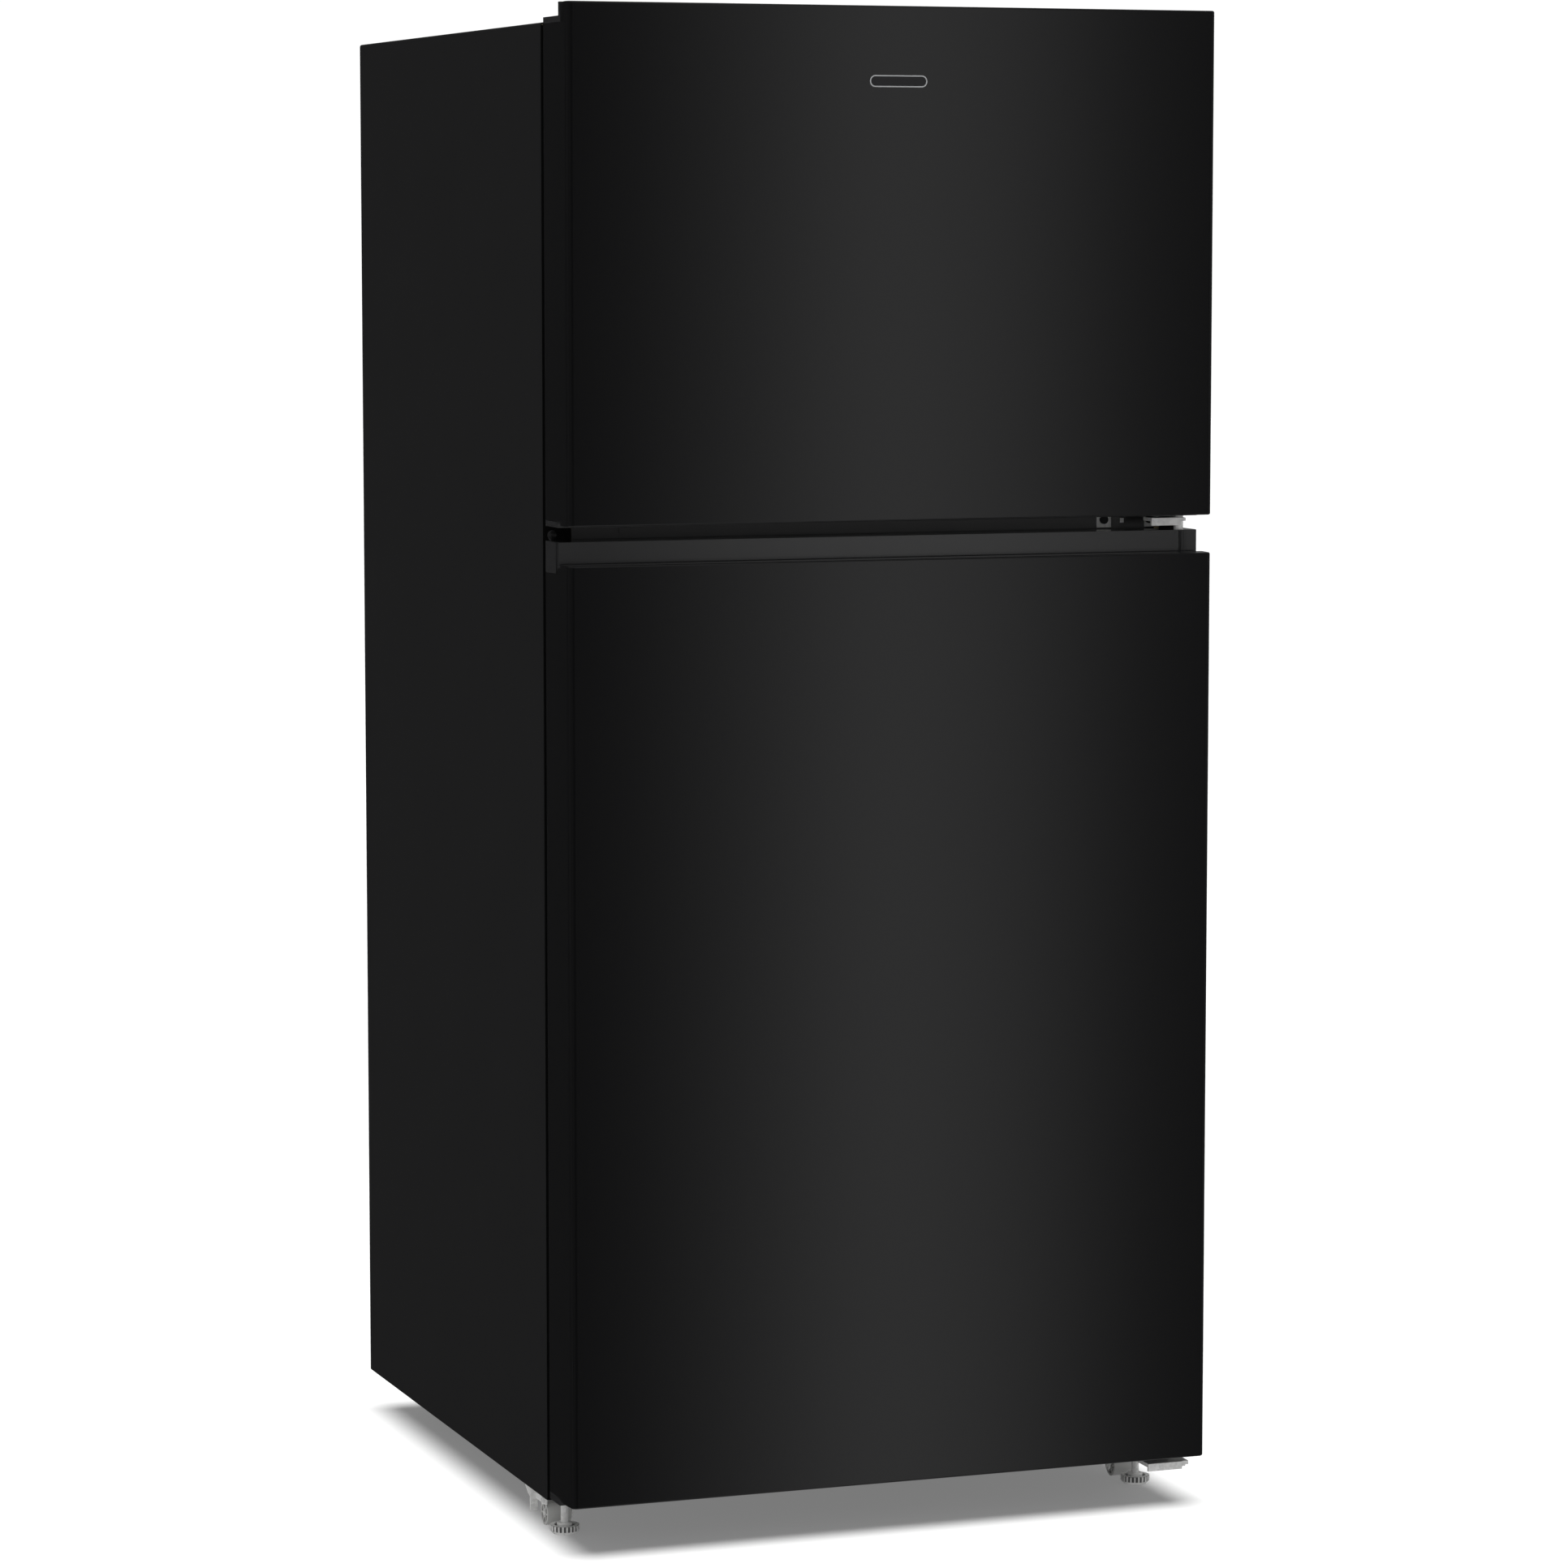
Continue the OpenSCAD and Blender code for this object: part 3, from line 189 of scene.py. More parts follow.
def paint_grain_group():
    group = bpy.data.node_groups.new("surface grain", "ShaderNodeTree")
    for name, kind, value in (("Color", "NodeSocketColor", (0.1, 0.1, 0.1, 1)),
                              ("Roughness", "NodeSocketFloat", 0.4),
                              ("Grains per metre", "NodeSocketFloat", 600.0),
                              ("Height", "NodeSocketFloat", 0.1),
                              ("Mottle", "NodeSocketFloat", 0.1)):
        socket = group.interface.new_socket(name=name, in_out="INPUT", socket_type=kind)
        socket.default_value = value
    for name, kind in (("Color", "NodeSocketColor"), ("Roughness", "NodeSocketFloat"),
                       ("Normal", "NodeSocketVector")):
        group.interface.new_socket(name=name, in_out="OUTPUT", socket_type=kind)
    given = group.nodes.new("NodeGroupInput")
    result = group.nodes.new("NodeGroupOutput")
    place = group.nodes.new("ShaderNodeTexCoord")
    grain = group.nodes.new("ShaderNodeTexNoise")
    grain.inputs["Detail"].default_value = 3
    group.links.new(place.outputs["Object"], grain.inputs["Vector"])
    group.links.new(given.outputs["Grains per metre"], grain.inputs["Scale"])
    bump = group.nodes.new("ShaderNodeBump")
    bump.inputs["Distance"].default_value = 0.0004
    group.links.new(given.outputs["Height"], bump.inputs["Strength"])
    group.links.new(grain.outputs["Fac"], bump.inputs["Height"])
    group.links.new(bump.outputs["Normal"], result.inputs["Normal"])
    cloud = group.nodes.new("ShaderNodeTexNoise")
    cloud.inputs["Scale"].default_value = 9
    cloud.inputs["Detail"].default_value = 4
    group.links.new(place.outputs["Object"], cloud.inputs["Vector"])
    blend = group.nodes.new("ShaderNodeMath")
    blend.operation = "ADD"
    group.links.new(cloud.outputs["Fac"], blend.inputs[0])
    group.links.new(grain.outputs["Fac"], blend.inputs[1])
    centred = group.nodes.new("ShaderNodeMath")
    centred.operation = "SUBTRACT"
    group.links.new(blend.outputs[0], centred.inputs[0])
    centred.inputs[1].default_value = 1.0
    swing = group.nodes.new("ShaderNodeMath")
    swing.operation = "MULTIPLY"
    group.links.new(centred.outputs[0], swing.inputs[0])
    group.links.new(given.outputs["Mottle"], swing.inputs[1])
    gain = group.nodes.new("ShaderNodeMath")
    gain.operation = "ADD"
    gain.inputs[1].default_value = 1.0
    group.links.new(swing.outputs[0], gain.inputs[0])
    shade = group.nodes.new("ShaderNodeVectorMath")
    shade.operation = "SCALE"
    group.links.new(given.outputs["Color"], shade.inputs[0])
    group.links.new(gain.outputs[0], shade.inputs["Scale"])
    group.links.new(shade.outputs[0], result.inputs["Color"])
    rough = group.nodes.new("ShaderNodeMath")
    rough.operation = "MULTIPLY"
    rough.use_clamp = True
    group.links.new(given.outputs["Roughness"], rough.inputs[0])
    group.links.new(gain.outputs[0], rough.inputs[1])
    group.links.new(rough.outputs[0], result.inputs["Roughness"])
    return group


surface_grain = paint_grain_group()


def finish(name, color, roughness, grains=600.0, height=0.1, mottle=0.1, **plain):
    material = bpy.data.materials.new(name)
    material.use_nodes = True
    tree = material.node_tree
    shader = tree.nodes["Principled BSDF"]
    grain = group_node(tree, surface_grain, Color=(*color, 1), Roughness=roughness,
                       Grains_per_metre=grains, Height=height, Mottle=mottle)
    tree.links.new(grain.outputs["Color"], shader.inputs["Base Color"])
    tree.links.new(grain.outputs["Roughness"], shader.inputs["Roughness"])
    tree.links.new(grain.outputs["Normal"], shader.inputs["Normal"])
    for socket, value in plain.items():
        shader.inputs[socket.replace("_", " ")].default_value = value
    return material


def select_only(*pieces):
    bpy.ops.object.select_all(action="DESELECT")
    for piece in pieces:
        piece.select_set(True)
    bpy.context.view_layer.objects.active = pieces[0]


def solid(name, low, high):
    low, high = Vector(low), Vector(high)
    bpy.ops.object.select_all(action="DESELECT")
    bpy.ops.mesh.primitive_cube_add(size=1, location=(low + high) / 2)
    piece = bpy.context.object
    piece.name = name
    piece.scale = high - low
    bpy.ops.object.transform_apply(location=True, rotation=True, scale=True)
    return piece


def edges_where(piece, test):
    select_only(piece)
    bpy.ops.object.mode_set(mode="EDIT")
    bpy.ops.mesh.select_mode(type="EDGE")
    bpy.ops.mesh.select_all(action="DESELECT")
    bpy.ops.object.mode_set(mode="OBJECT")
    for edge in piece.data.edges:
        a, b = (piece.data.vertices[i].co for i in edge.vertices)
        edge.select = bool(test((a + b) / 2, (b - a).normalized()))


def faces_where(piece, test):
    select_only(piece)
    bpy.ops.object.mode_set(mode="EDIT")
    bpy.ops.mesh.select_mode(type="FACE")
    bpy.ops.mesh.select_all(action="DESELECT")
    bpy.ops.object.mode_set(mode="OBJECT")
    for face in piece.data.polygons:
        face.select = bool(test(face.center, face.normal))


def round_edges(piece, width, segments, test):
    edges_where(piece, test)
    bpy.ops.object.mode_set(mode="EDIT")
    bpy.ops.mesh.bevel(offset=width, offset_type="OFFSET", segments=segments, affect="EDGES")
    bpy.ops.object.mode_set(mode="OBJECT")


def remove_faces(piece, test):
    faces_where(piece, test)
    bpy.ops.object.mode_set(mode="EDIT")
    bpy.ops.mesh.delete(type="FACE")
    bpy.ops.object.mode_set(mode="OBJECT")


def apply_modifier(piece, kind, **values):
    select_only(piece)
    modifier = piece.modifiers.new(kind.lower(), kind)
    for key_name, value in values.items():
        setattr(modifier, key_name, value)
    bpy.ops.object.modifier_apply(modifier=modifier.name)


def wall(piece, thickness, offset=-1):
    apply_modifier(piece, "SOLIDIFY", thickness=thickness, offset=offset, use_even_offset=True)


def cut(piece, cutter):
    apply_modifier(piece, "BOOLEAN", operation="DIFFERENCE", object=cutter, solver="EXACT")
    bpy.data.objects.remove(cutter)


def soft_edges(piece, width, segments=2, angle=40):
    apply_modifier(piece, "BEVEL", width=width, segments=segments, limit_method="ANGLE",
                   angle_limit=math.radians(angle), harden_normals=False)


def done(piece, body, material, slot, *nodes):
    select_only(piece)
    bpy.ops.object.shade_smooth_by_angle(angle=math.radians(32))
    apply_modifier(piece, "WEIGHTED_NORMAL", keep_sharp=True)
    piece.data.materials.clear()
    piece.data.materials.append(material)
    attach(piece, body)
    if nodes:
        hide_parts(*nodes)
    return piece


low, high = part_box("cabinet_shell")
cabinet_top = high.z
lip = 0.028
cabinet_sheet = 0.0012
fold = 0.0025
cabinet_paint = finish("textured black paint", (0.0075, 0.0075, 0.0080), 0.46, grains=900, height=0.22,
                       mottle=0.16)
wrapper = solid("cabinet_wrapper", low, high)
round_edges(wrapper, fold, 3, lambda c, d: abs(d.y) > 0.9 and c.z > cabinet_top - 0.05)
round_edges(wrapper, cabinet_sheet, 2,
            lambda c, d: c.y < low.y + 0.001 and (abs(c.x) > high.x - 0.011 or c.z > cabinet_top - 0.01))
faces_where(wrapper, lambda c, n: n.y < -0.9)
bpy.ops.object.mode_set(mode="EDIT")
bpy.ops.mesh.inset(thickness=lip)
bpy.ops.mesh.delete(type="FACE")
bpy.ops.object.mode_set(mode="OBJECT")
remove_faces(wrapper, lambda c, n: n.y > 0.9 or n.z < -0.9)
wall(wrapper, cabinet_sheet)
done(wrapper, "cabinet", cabinet_paint, "black_steel", "cabinet_shell")
# painted shade: the lip's front faces get a near-black matt paint so the gap round the doors reads dark
gap_shade_lip_paint = finish("lip paint darkened as painted gap shade", (0.0012, 0.0012, 0.0012), 0.60, grains=900, height=0.22,
                   mottle=0.16, Specular_IOR_Level=0.08)
wrapper.data.materials.append(gap_shade_lip_paint)
for polygon in wrapper.data.polygons:
    if polygon.normal.y < -0.9:
        polygon.material_index = 1

# Door faces. Folded steel sheets in smooth black paint: the upright edges are rolled to a
# six millimetre radius, the top and bottom edges are only just broken, and a narrow hem is turned
# in round the back to meet the inner panel.
door_paint = finish("smooth black paint", (0.0024, 0.0024, 0.0026), 0.08, grains=350, height=0.012,
                    mottle=0.05)


def door_face(name, node):
    roll, broken_edge, hem, sheet = 0.006, 0.0018, 0.0068, 0.001
    low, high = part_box(node)
    face = solid(name, low, high)
    round_edges(face, roll, 7, lambda c, d: abs(d.z) > 0.9 and c.y < low.y + 0.001)
    round_edges(face, broken_edge, 3, lambda c, d: abs(d.z) < 0.5 and c.y < low.y + roll + 0.0002
                and (c.z > high.z - 0.001 or c.z < low.z + 0.001))
    faces_where(face, lambda c, n: n.y > 0.9)
    bpy.ops.object.mode_set(mode="EDIT")
    bpy.ops.mesh.inset(thickness=hem)
    bpy.ops.object.mode_set(mode="OBJECT")
    remove_faces(face, lambda c, n: (n.y > 0.9 and abs(c.x) < high.x - 0.05)
                 or (abs(n.z) > 0.99 and c.y > low.y + 0.02))
    wall(face, sheet)
    return face, low, high


def notch(face, front, depth, z0, z1):
    past_side, past_back = 0.4, 0.1
    cut(face, solid("cutter", (-past_side, front + depth, z0), (past_side, front + past_back, z1)))


cap_ledge, handle_ledge, cap_step = 0.010, 0.026, 0.038
face, low, high = door_face("freezer_door_face", "freezer_door_skin")
notch(face, low.y, cap_ledge, cabinet_top - 0.002, high.z + 0.01)
notch(face, low.y, handle_ledge, low.z - 0.01, low.z + 0.004)
done(face, "freezer_door", door_paint, "gloss_black_steel", "freezer_door_skin")
face, low, high = door_face("fridge_door_face", "fridge_door_skin")
notch(face, low.y, cap_step, high.z - 0.010, high.z + 0.01)
notch(face, low.y, handle_ledge, high.z - 0.004, high.z + 0.01)
notch(face, low.y, cap_step, low.z - 0.01, low.z + 0.003)
done(face, "fridge_door", door_paint, "gloss_black_steel", "fridge_door_skin")

# Door caps. Black moulded plastic end pieces that close the sheet at top and bottom; the ones
# between the doors hold the finger grips, and every edge is broken for the hand.
cap_plastic = finish("black moulded plastic", (0.0140, 0.0140, 0.0146), 0.12, grains=1400, height=0.06,
                     mottle=0.12, Specular_IOR_Level=1.0)


def moulded(name, node, width, segments=2, dissolve=1.0):
    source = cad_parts[node]
    piece = source.copy()
    piece.data = source.data.copy()
    piece.parent = None
    piece.name = name
    bpy.context.collection.objects.link(piece)
    for key_name in list(piece.keys()):
        if key_name.startswith("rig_"):
            del piece[key_name]
    select_only(piece)
    bpy.ops.mesh.customdata_custom_splitnormals_clear()
    bpy.ops.object.mode_set(mode="EDIT")
    bpy.ops.mesh.select_all(action="SELECT")
    bpy.ops.mesh.remove_doubles(threshold=0.00001)
    bpy.ops.mesh.dissolve_limited(angle_limit=math.radians(dissolve))
    bpy.ops.object.mode_set(mode="OBJECT")
    soft_edges(piece, width, segments)
    return piece


for node in ("freezer_door_top_cap", "freezer_door_bottom_cap"):
    done(moulded(node + "_moulding", node, 0.0009), "freezer_door", cap_plastic, "black_plastic", node)
for node in ("fridge_door_top_cap", "fridge_door_bottom_cap"):
    done(moulded(node + "_moulding", node, 0.0009), "fridge_door", cap_plastic, "black_plastic", node)

# Door seals. Soft black magnetic strips with a folded bellows, mitred into a frame that is pushed
# into a groove in each door's inner panel.
seal_rubber = finish("black seal rubber", (0.014, 0.014, 0.015), 0.62, grains=700, height=0.15,
                     mottle=0.2)
for door in ("freezer_door", "fridge_door"):
    done(moulded(door + "_seal", door + "_gasket", 0.0012), door, seal_rubber, "seal", door + "_gasket")

# Door foam. Blown polyurethane that fills each door between its sheet and its inner panel; only
# a door taken apart would show it.
foam = finish("blown foam", (0.70, 0.60, 0.34), 0.92, grains=420, height=0.6, mottle=0.35)


def coat(node, material):
    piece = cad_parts[node]
    piece.data.materials.clear()
    piece.data.materials.append(material)


for node in ("freezer_door_insulation", "fridge_door_insulation", "cabinet_insulation"):
    coat(node, foam)

# Door inner panels. White plastic sheet drawn into a flat panel with a raised rim all round,
# which the bins clip between.
white_plastic = finish("white drawn plastic", (0.80, 0.81, 0.81), 0.30, grains=500, height=0.05,
                       mottle=0.04)
for door in ("freezer_door", "fridge_door"):
    done(moulded(door + "_inner_panel", door + "_liner", 0.0045, 3), door, white_plastic,
         "white_plastic", door + "_liner")

# Door bins and the dairy compartment. Clear moulded trays with a thicker front rim, and a flap
# that lifts over the dairy compartment.
clear_plastic = finish("clear bin plastic", (0.86, 0.92, 0.94), 0.10, grains=120, height=0.02,
                       mottle=0.03, Transmission_Weight=0.88, IOR=1.49)
done(moulded("freezer_bins", "freezer_door_bins", 0.0008), "freezer_door", clear_plastic,
     "clear_bin_plastic", "freezer_door_bins")
done(moulded("fridge_bins", "fridge_door_bins", 0.0008), "fridge_door", clear_plastic,
     "clear_bin_plastic", "fridge_door_bins")
done(moulded("dairy_flap", "dairy_cover", 0.0007), "dairy_cover", clear_plastic,
     "clear_bin_plastic", "dairy_cover")

# Badge. A small plain plate with a bright rim and a dark field, pressed on the freezer door and
# carrying no mark.
bright = finish("satin chrome", (0.66, 0.67, 0.68), 0.25, grains=300, height=0.02, mottle=0.05,
                Metallic=0.7)
badge_field = finish("dark badge field", (0.012, 0.012, 0.013), 0.25, grains=300, height=0.02, mottle=0.05)
low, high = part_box("nameplate")
badge = solid("plain_badge", low, high)
round_edges(badge, 0.0058, 8, lambda c, d: abs(d.y) > 0.9)
faces_where(badge, lambda c, n: n.y < -0.9)
bpy.ops.object.mode_set(mode="EDIT")
bpy.ops.mesh.inset(thickness=0.0012)
bpy.ops.mesh.extrude_region_move(TRANSFORM_OT_translate={"value": (0, 0.0004, 0)})
bpy.ops.object.mode_set(mode="OBJECT")
done(badge, "freezer_door", bright, "badge", "nameplate")
badge.data.materials.append(badge_field)
for polygon in badge.data.polygons:
    if polygon.normal.y < -0.9 and polygon.center.y > low.y + 0.0003:
        polygon.material_index = 1

# Rail and strip between the doors. A folded steel rail across the cabinet's front, and a black
# plastic strip over it with windows for the hinge and holes for hanging the doors the other way.
coat("mullion_rail", cabinet_paint)
strip_plastic = finish("black strip plastic", (0.0070, 0.0070, 0.0073), 0.24, grains=1400, height=0.06,
                       mottle=0.12, Specular_IOR_Level=0.8)
done(moulded("mullion_strip", "mullion_cover", 0.0005), "cabinet", strip_plastic, "black_plastic",
     "mullion_cover")
done(moulded("spare_hole_plug", "hinge_hole_plugs", 0.0003), "cabinet", strip_plastic, "black_plastic",
     "hinge_hole_plugs")

# Hinges. Cut and bent from thick galvanised sheet, each with a turned pin that a door cap turns
# on; the zinc has dull grey spangles.
def spangle_group():
    group = bpy.data.node_groups.new("zinc spangle", "ShaderNodeTree")
    for name, kind, value in (("Color", "NodeSocketColor", (0.6, 0.6, 0.6, 1)),
                              ("Roughness", "NodeSocketFloat", 0.4),
                              ("Spangles per metre", "NodeSocketFloat", 260.0),
                              ("Contrast", "NodeSocketFloat", 0.3)):
        socket = group.interface.new_socket(name=name, in_out="INPUT", socket_type=kind)
        socket.default_value = value
    for name, kind in (("Color", "NodeSocketColor"), ("Roughness", "NodeSocketFloat"),
                       ("Normal", "NodeSocketVector")):
        group.interface.new_socket(name=name, in_out="OUTPUT", socket_type=kind)
    given = group.nodes.new("NodeGroupInput")
    result = group.nodes.new("NodeGroupOutput")
    place = group.nodes.new("ShaderNodeTexCoord")
    cells = group.nodes.new("ShaderNodeTexVoronoi")
    group.links.new(place.outputs["Object"], cells.inputs["Vector"])
    group.links.new(given.outputs["Spangles per metre"], cells.inputs["Scale"])
    tone = group.nodes.new("ShaderNodeSeparateColor")
    group.links.new(cells.outputs["Color"], tone.inputs[0])
    centred = group.nodes.new("ShaderNodeMath")
    centred.operation = "SUBTRACT"
    centred.inputs[1].default_value = 0.5
    group.links.new(tone.outputs[0], centred.inputs[0])
    swing = group.nodes.new("ShaderNodeMath")
    swing.operation = "MULTIPLY_ADD"
    swing.inputs[2].default_value = 1.0
    group.links.new(centred.outputs[0], swing.inputs[0])
    group.links.new(given.outputs["Contrast"], swing.inputs[1])
    shade = group.nodes.new("ShaderNodeVectorMath")
    shade.operation = "SCALE"
    group.links.new(given.outputs["Color"], shade.inputs[0])
    group.links.new(swing.outputs[0], shade.inputs["Scale"])
    group.links.new(shade.outputs[0], result.inputs["Color"])
    rough = group.nodes.new("ShaderNodeMath")
    rough.operation = "MULTIPLY"
    group.links.new(given.outputs["Roughness"], rough.inputs[0])
    group.links.new(swing.outputs[0], rough.inputs[1])
    group.links.new(rough.outputs[0], result.inputs["Roughness"])
    scratch = group.nodes.new("ShaderNodeTexNoise")
    scratch.inputs["Scale"].default_value = 1500
    group.links.new(place.outputs["Object"], scratch.inputs["Vector"])
    bump = group.nodes.new("ShaderNodeBump")
    bump.inputs["Strength"].default_value = 0.08
    bump.inputs["Distance"].default_value = 0.0002
    group.links.new(scratch.outputs["Fac"], bump.inputs["Height"])
    group.links.new(bump.outputs["Normal"], result.inputs["Normal"])
    return group


zinc_spangle = spangle_group()


def zinc(name, color, roughness, spangles, contrast, metallic):
    material = bpy.data.materials.new(name)
    material.use_nodes = True
    tree = material.node_tree
    shader = tree.nodes["Principled BSDF"]
    shader.inputs["Metallic"].default_value = metallic
    node = group_node(tree, zinc_spangle, Color=(*color, 1), Roughness=roughness,
                      Spangles_per_metre=spangles, Contrast=contrast)
    tree.links.new(node.outputs["Color"], shader.inputs["Base Color"])
    tree.links.new(node.outputs["Roughness"], shader.inputs["Roughness"])
    tree.links.new(node.outputs["Normal"], shader.inputs["Normal"])
    return material


galvanised = zinc("galvanised sheet", (0.74, 0.74, 0.73), 0.42, 320, 0.20, 0.35)
for node in ("top_hinge", "center_hinge", "bottom_hinge"):
    done(moulded(node + "_bracket", node, 0.0005), "cabinet", galvanised, "zinc_steel", node)
done(moulded("top_hinge_hood", "top_hinge_cover", 0.0008), "cabinet", cap_plastic, "black_plastic",
     "top_hinge_cover")

# Hinge screws. Black pan-head machine screws, two to each hinge, driven through its plate into the
# cabinet's steel.
screw_black = finish("black oxide", (0.020, 0.020, 0.021), 0.38, grains=900, height=0.08, mottle=0.2,
                     Metallic=0.6)
coat("hinge_screws", screw_black)

# Levelling feet and rollers. The feet are ribbed zinc-plated wheels on steel studs, with a much darker zinc
# painted in as shade between their ribs and on the dish floor; the rollers are nylon, have spoked ends and
# run on short axles in pressed channels.
groove_shade_zinc = zinc("zinc darkened as painted groove shade", (0.10, 0.10, 0.10), 0.55, 320, 0.20, 0.2)
rib_low, rib_high, dish_floor = 0.0027, 0.0087, 0.007
for side in ("left", "right"):
    wheel = done(moulded(side + "_foot_wheel", side + "_leveling_foot", 0.00025, 1), side + "_leveling_foot",
                 galvanised, "zinc_steel", side + "_leveling_foot")
    low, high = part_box(side + "_leveling_foot")
    middle = (low + high) / 2
    rim = (high.x - low.x) / 2
    # painted shade: the groove bottoms between the ribs and the dish floor take a much darker zinc
    wheel.data.materials.append(groove_shade_zinc)
    for polygon in wheel.data.polygons:
        out = (polygon.center - middle).xy.length
        shaded_rib_groove = rim - 0.0018 < out < rim - 0.0007 and rib_low < polygon.center.z < rib_high
        shaded_dish_floor = dish_floor - 0.0005 < polygon.center.z < dish_floor + 0.0005 and out < rim - 0.004
        if shaded_rib_groove or shaded_dish_floor:
            polygon.material_index = 1
outer_cheek, cheek_room = 0.337, 0.0025
opening_y, opening_z = (-0.262, -0.2125), (0.005, 0.0255)
nylon = finish("pale nylon", (0.40, 0.40, 0.39), 0.42, grains=800, height=0.1, mottle=0.12)
for end in ("front", "rear"):
    channels = moulded(end + "_channels", end + "_roller_brackets", 0.0004, 1)
    if end == "front":
        # the outer cheek is open round the roller's end
        for x in (-outer_cheek, outer_cheek):
            cut(channels, solid("cutter", (x - cheek_room, opening_y[0], opening_z[0]),
                                (x + cheek_room, opening_y[1], opening_z[1])))
    done(channels, "cabinet", galvanised, "zinc_steel", end + "_roller_brackets")
    for side in ("left", "right"):
        node = side + "_" + end + "_roller"
        done(moulded(node + "_wheel", node, 0.0004, 1), node, nylon, "roller_nylon", node)

# Floor of the cabinet. A black painted pan that closes the cabinet below, with its front edge
# turned up behind the fridge door.
coat("base_pan", cabinet_paint)

# Compartment linings. Each compartment is one sheet of white plastic drawn into a tub with
# rounded corners and pressed ledges for the shelves; the lower tub steps up over the compressor.
def tub(name, half, y0, y1, z0, z1, radius, step_y=None, step_z=None):
    if step_y is None:
        piece = solid(name, (-half, y0, z0), (half, y1, z1))
    else:
        piece = solid(name, (-half, y0, z0), (half, step_y, step_z))
        faces_where(piece, lambda c, n: n.z > 0.9)
        bpy.ops.object.mode_set(mode="EDIT")
        bpy.ops.mesh.extrude_region_move(TRANSFORM_OT_translate={"value": (0, 0, z1 - step_z)})
        bpy.ops.object.mode_set(mode="OBJECT")
        faces_where(piece, lambda c, n: n.y > 0.9 and c.z > step_z)
        bpy.ops.object.mode_set(mode="EDIT")
        bpy.ops.mesh.extrude_region_move(TRANSFORM_OT_translate={"value": (0, y1 - step_y, 0)})
        bpy.ops.object.mode_set(mode="OBJECT")
    remove_faces(piece, lambda c, n: n.y < -0.9)
    soft_edges(piece, radius, 4)
    wall(piece, 0.0018, 1)
    return piece


def join(first, *others):
    select_only(first, *others)
    bpy.ops.object.join()
    return first


def bar(name, low, high, width, segments=2):
    piece = solid(name, low, high)
    soft_edges(piece, width, segments)
    return piece


def side_ledges(x, half_thick, y0, y1, spans, width):
    return [bar("ledge", (s * x - half_thick, y0, z0), (s * x + half_thick, y1, z1), width)
            for s in (-1, 1) for z0, z1 in spans]


def side_flanges(inner, outer, low, high):
    middle, half = (inner + outer) / 2, (outer - inner) / 2
    return [bar("flange", (s * middle - half, low.y, low.z),
                (s * middle + half, low.y + flange_thick, high.z), 0.0008) for s in (-1, 1)]


corner, flange_thick, flange_edge = 0.012, 0.003, 0.3228
fresh_half, freezer_half = 0.300, 0.290
step_y, step_z = 0.095, 0.304
shelf_tops = (0.326, 0.560, 0.760)
low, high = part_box("fridge_liner")
lining = tub("fresh_food_tub", fresh_half, low.y + 0.0022, high.y - 0.002, low.z + 0.002, high.z - 0.002,
             corner, step_y, step_z)
ledges = side_ledges(0.2945, 0.0055, -0.175, 0.318, [(z - 0.008, z - 0.002) for z in shelf_tops], 0.002)
join(lining, *ledges, *side_flanges(fresh_half, flange_edge, low, high))
done(lining, "cabinet", white_plastic, "white_plastic", "fridge_liner")
low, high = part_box("freezer_liner")
ceiling = 1.488
lining = tub("freezer_tub", freezer_half, low.y + 0.0022, high.y - 0.002, low.z + 0.002, ceiling, corner)
ledges = side_ledges(0.286, 0.004, -0.185, 0.258, [(1.262, 1.268)], 0.0015)
flanges = side_flanges(freezer_half, flange_edge, low, high)
flanges.append(bar("flange", (-freezer_half - 0.0005, low.y, ceiling + 0.0002),
                   (freezer_half + 0.0005, low.y + flange_thick, high.z), 0.0008))
join(lining, *ledges, *flanges)
done(lining, "cabinet", white_plastic, "white_plastic", "freezer_liner")

# Shelves. Tempered glass panes in white moulded trims at the front and back, and a white coated
# wire shelf in the freezer.
glass = finish("shelf glass", (0.80, 0.92, 0.89), 0.03, grains=40, height=0.0, mottle=0.02,
               Transmission_Weight=0.95, IOR=1.5)
done(moulded("shelf_panes", "glass_shelves", 0.0008), "cabinet", glass, "shelf_glass", "glass_shelves")
done(moulded("shelf_trims", "shelf_frames", 0.0009), "cabinet", white_plastic, "white_plastic",
     "shelf_frames")
wire_coat = finish("white wire coating", (0.78, 0.79, 0.79), 0.34, grains=300, height=0.05, mottle=0.05)
coat("freezer_shelf", wire_coat)

# Crisper drawers. Clear trays with a thicker front and a scooped grip along its upper edge.
for side in ("left", "right"):
    node = side + "_crisper_drawer"
    done(moulded(side + "_crisper", node, 0.0011), node, clear_plastic, "clear_bin_plastic", node)

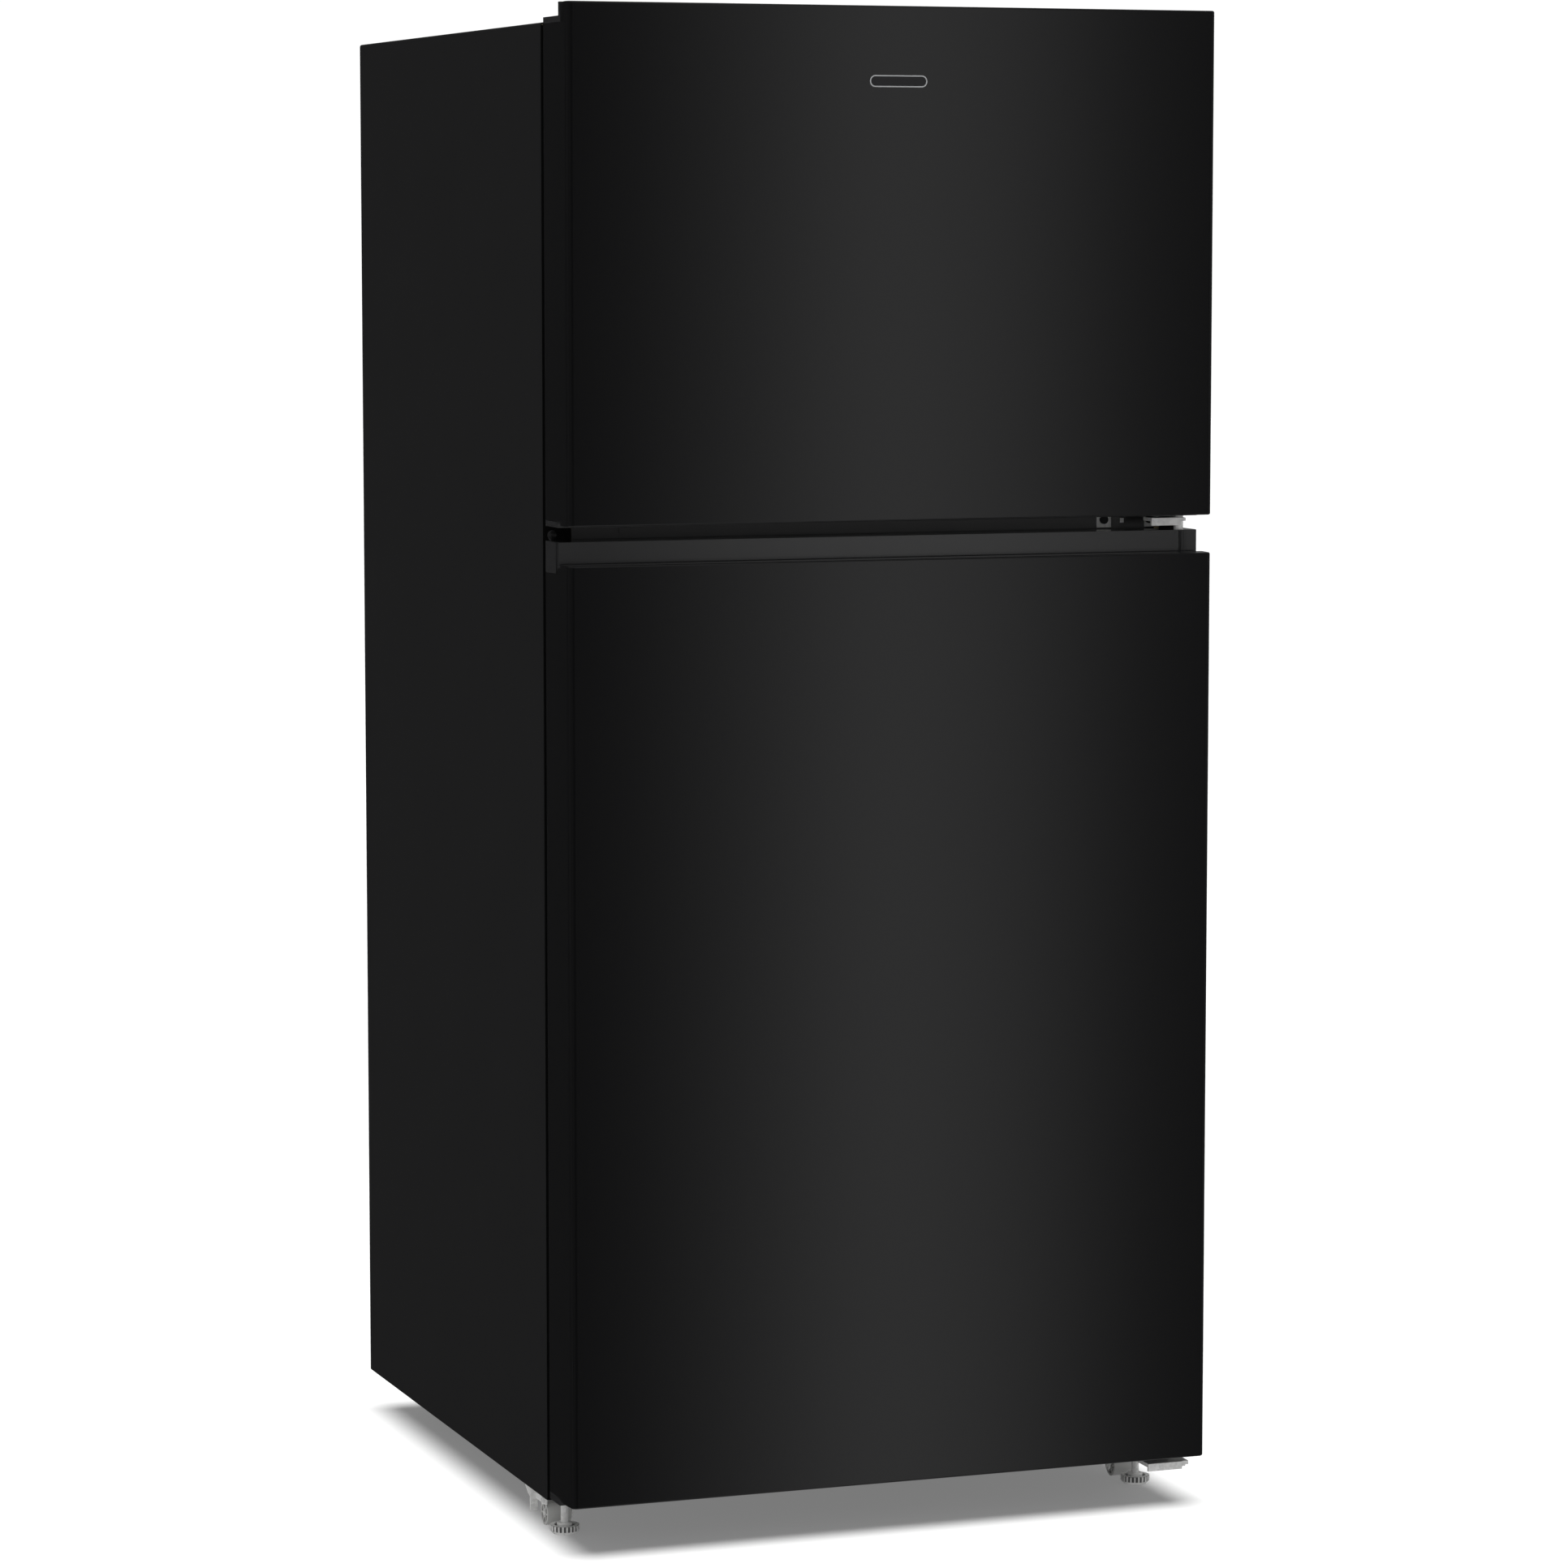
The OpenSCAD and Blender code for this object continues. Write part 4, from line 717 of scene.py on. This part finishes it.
# Controls. A white housing on the ceiling with the lamp behind a milky window, a dial with a
# pointer, and the button that the fridge door holds in.
milky = finish("milky lens", (0.88, 0.87, 0.82), 0.35, grains=200, height=0.05, mottle=0.03,
               Transmission_Weight=0.35)
done(moulded("control_box", "control_housing", 0.0009), "cabinet", white_plastic, "white_plastic",
     "control_housing")
done(moulded("lamp_window", "lamp_lens", 0.0008), "cabinet", milky, "white_plastic", "lamp_lens")
done(moulded("dial", "temperature_knob", 0.0005), "temperature_knob", white_plastic, "white_plastic",
     "temperature_knob")
done(moulded("door_switch_button", "light_switch_plunger", 0.0004), "light_switch_plunger",
     white_plastic, "white_plastic", "light_switch_plunger")

# Cold air. A finned aluminium coil behind a white cover, and a fan on its motor behind a grille.
fin_metal = zinc("coil aluminium", (0.62, 0.63, 0.64), 0.38, 500, 0.15, 0.6)
coat("evaporator", fin_metal)
done(moulded("freezer_back_cover", "evaporator_cover", 0.0008), "cabinet", white_plastic,
     "white_plastic", "evaporator_cover")
coat("evaporator_fan_motor", white_plastic)
dark_plastic = finish("dark fan plastic", (0.03, 0.03, 0.032), 0.45, grains=700, height=0.12, mottle=0.1)
coat("evaporator_fan", dark_plastic)

# Machine compartment. A black enamelled compressor on rubber mounts, the condenser with its fan,
# and a pan for the melt water, all behind a slotted cover at the back.
enamel = finish("black enamel", (0.010, 0.010, 0.010), 0.28, grains=200, height=0.06, mottle=0.15)
for node in ("compressor", "condenser"):
    coat(node, enamel)
black_rubber = finish("black rubber", (0.016, 0.016, 0.016), 0.7, grains=900, height=0.2, mottle=0.2)
coat("compressor_mounts", black_rubber)
for node in ("start_relay", "drain_pan", "condenser_fan_motor", "condenser_fan"):
    coat(node, dark_plastic)
done(moulded("slotted_cover", "rear_access_cover", 0.0003, 1), "cabinet", cabinet_paint, "black_steel",
     "rear_access_cover")
done(moulded("cord_bush", "cord_gland", 0.0005), "cabinet", black_rubber, "black_rubber", "cord_gland")

# Back panel. Grey coated steel with four pressed ribs that stiffen it.
grey_coat = finish("grey back coating", (0.23, 0.235, 0.24), 0.5, grains=700, height=0.15, mottle=0.12)
done(moulded("ribbed_back", "back_panel", 0.0008), "cabinet", grey_coat, "grey_steel", "back_panel")

low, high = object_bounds()
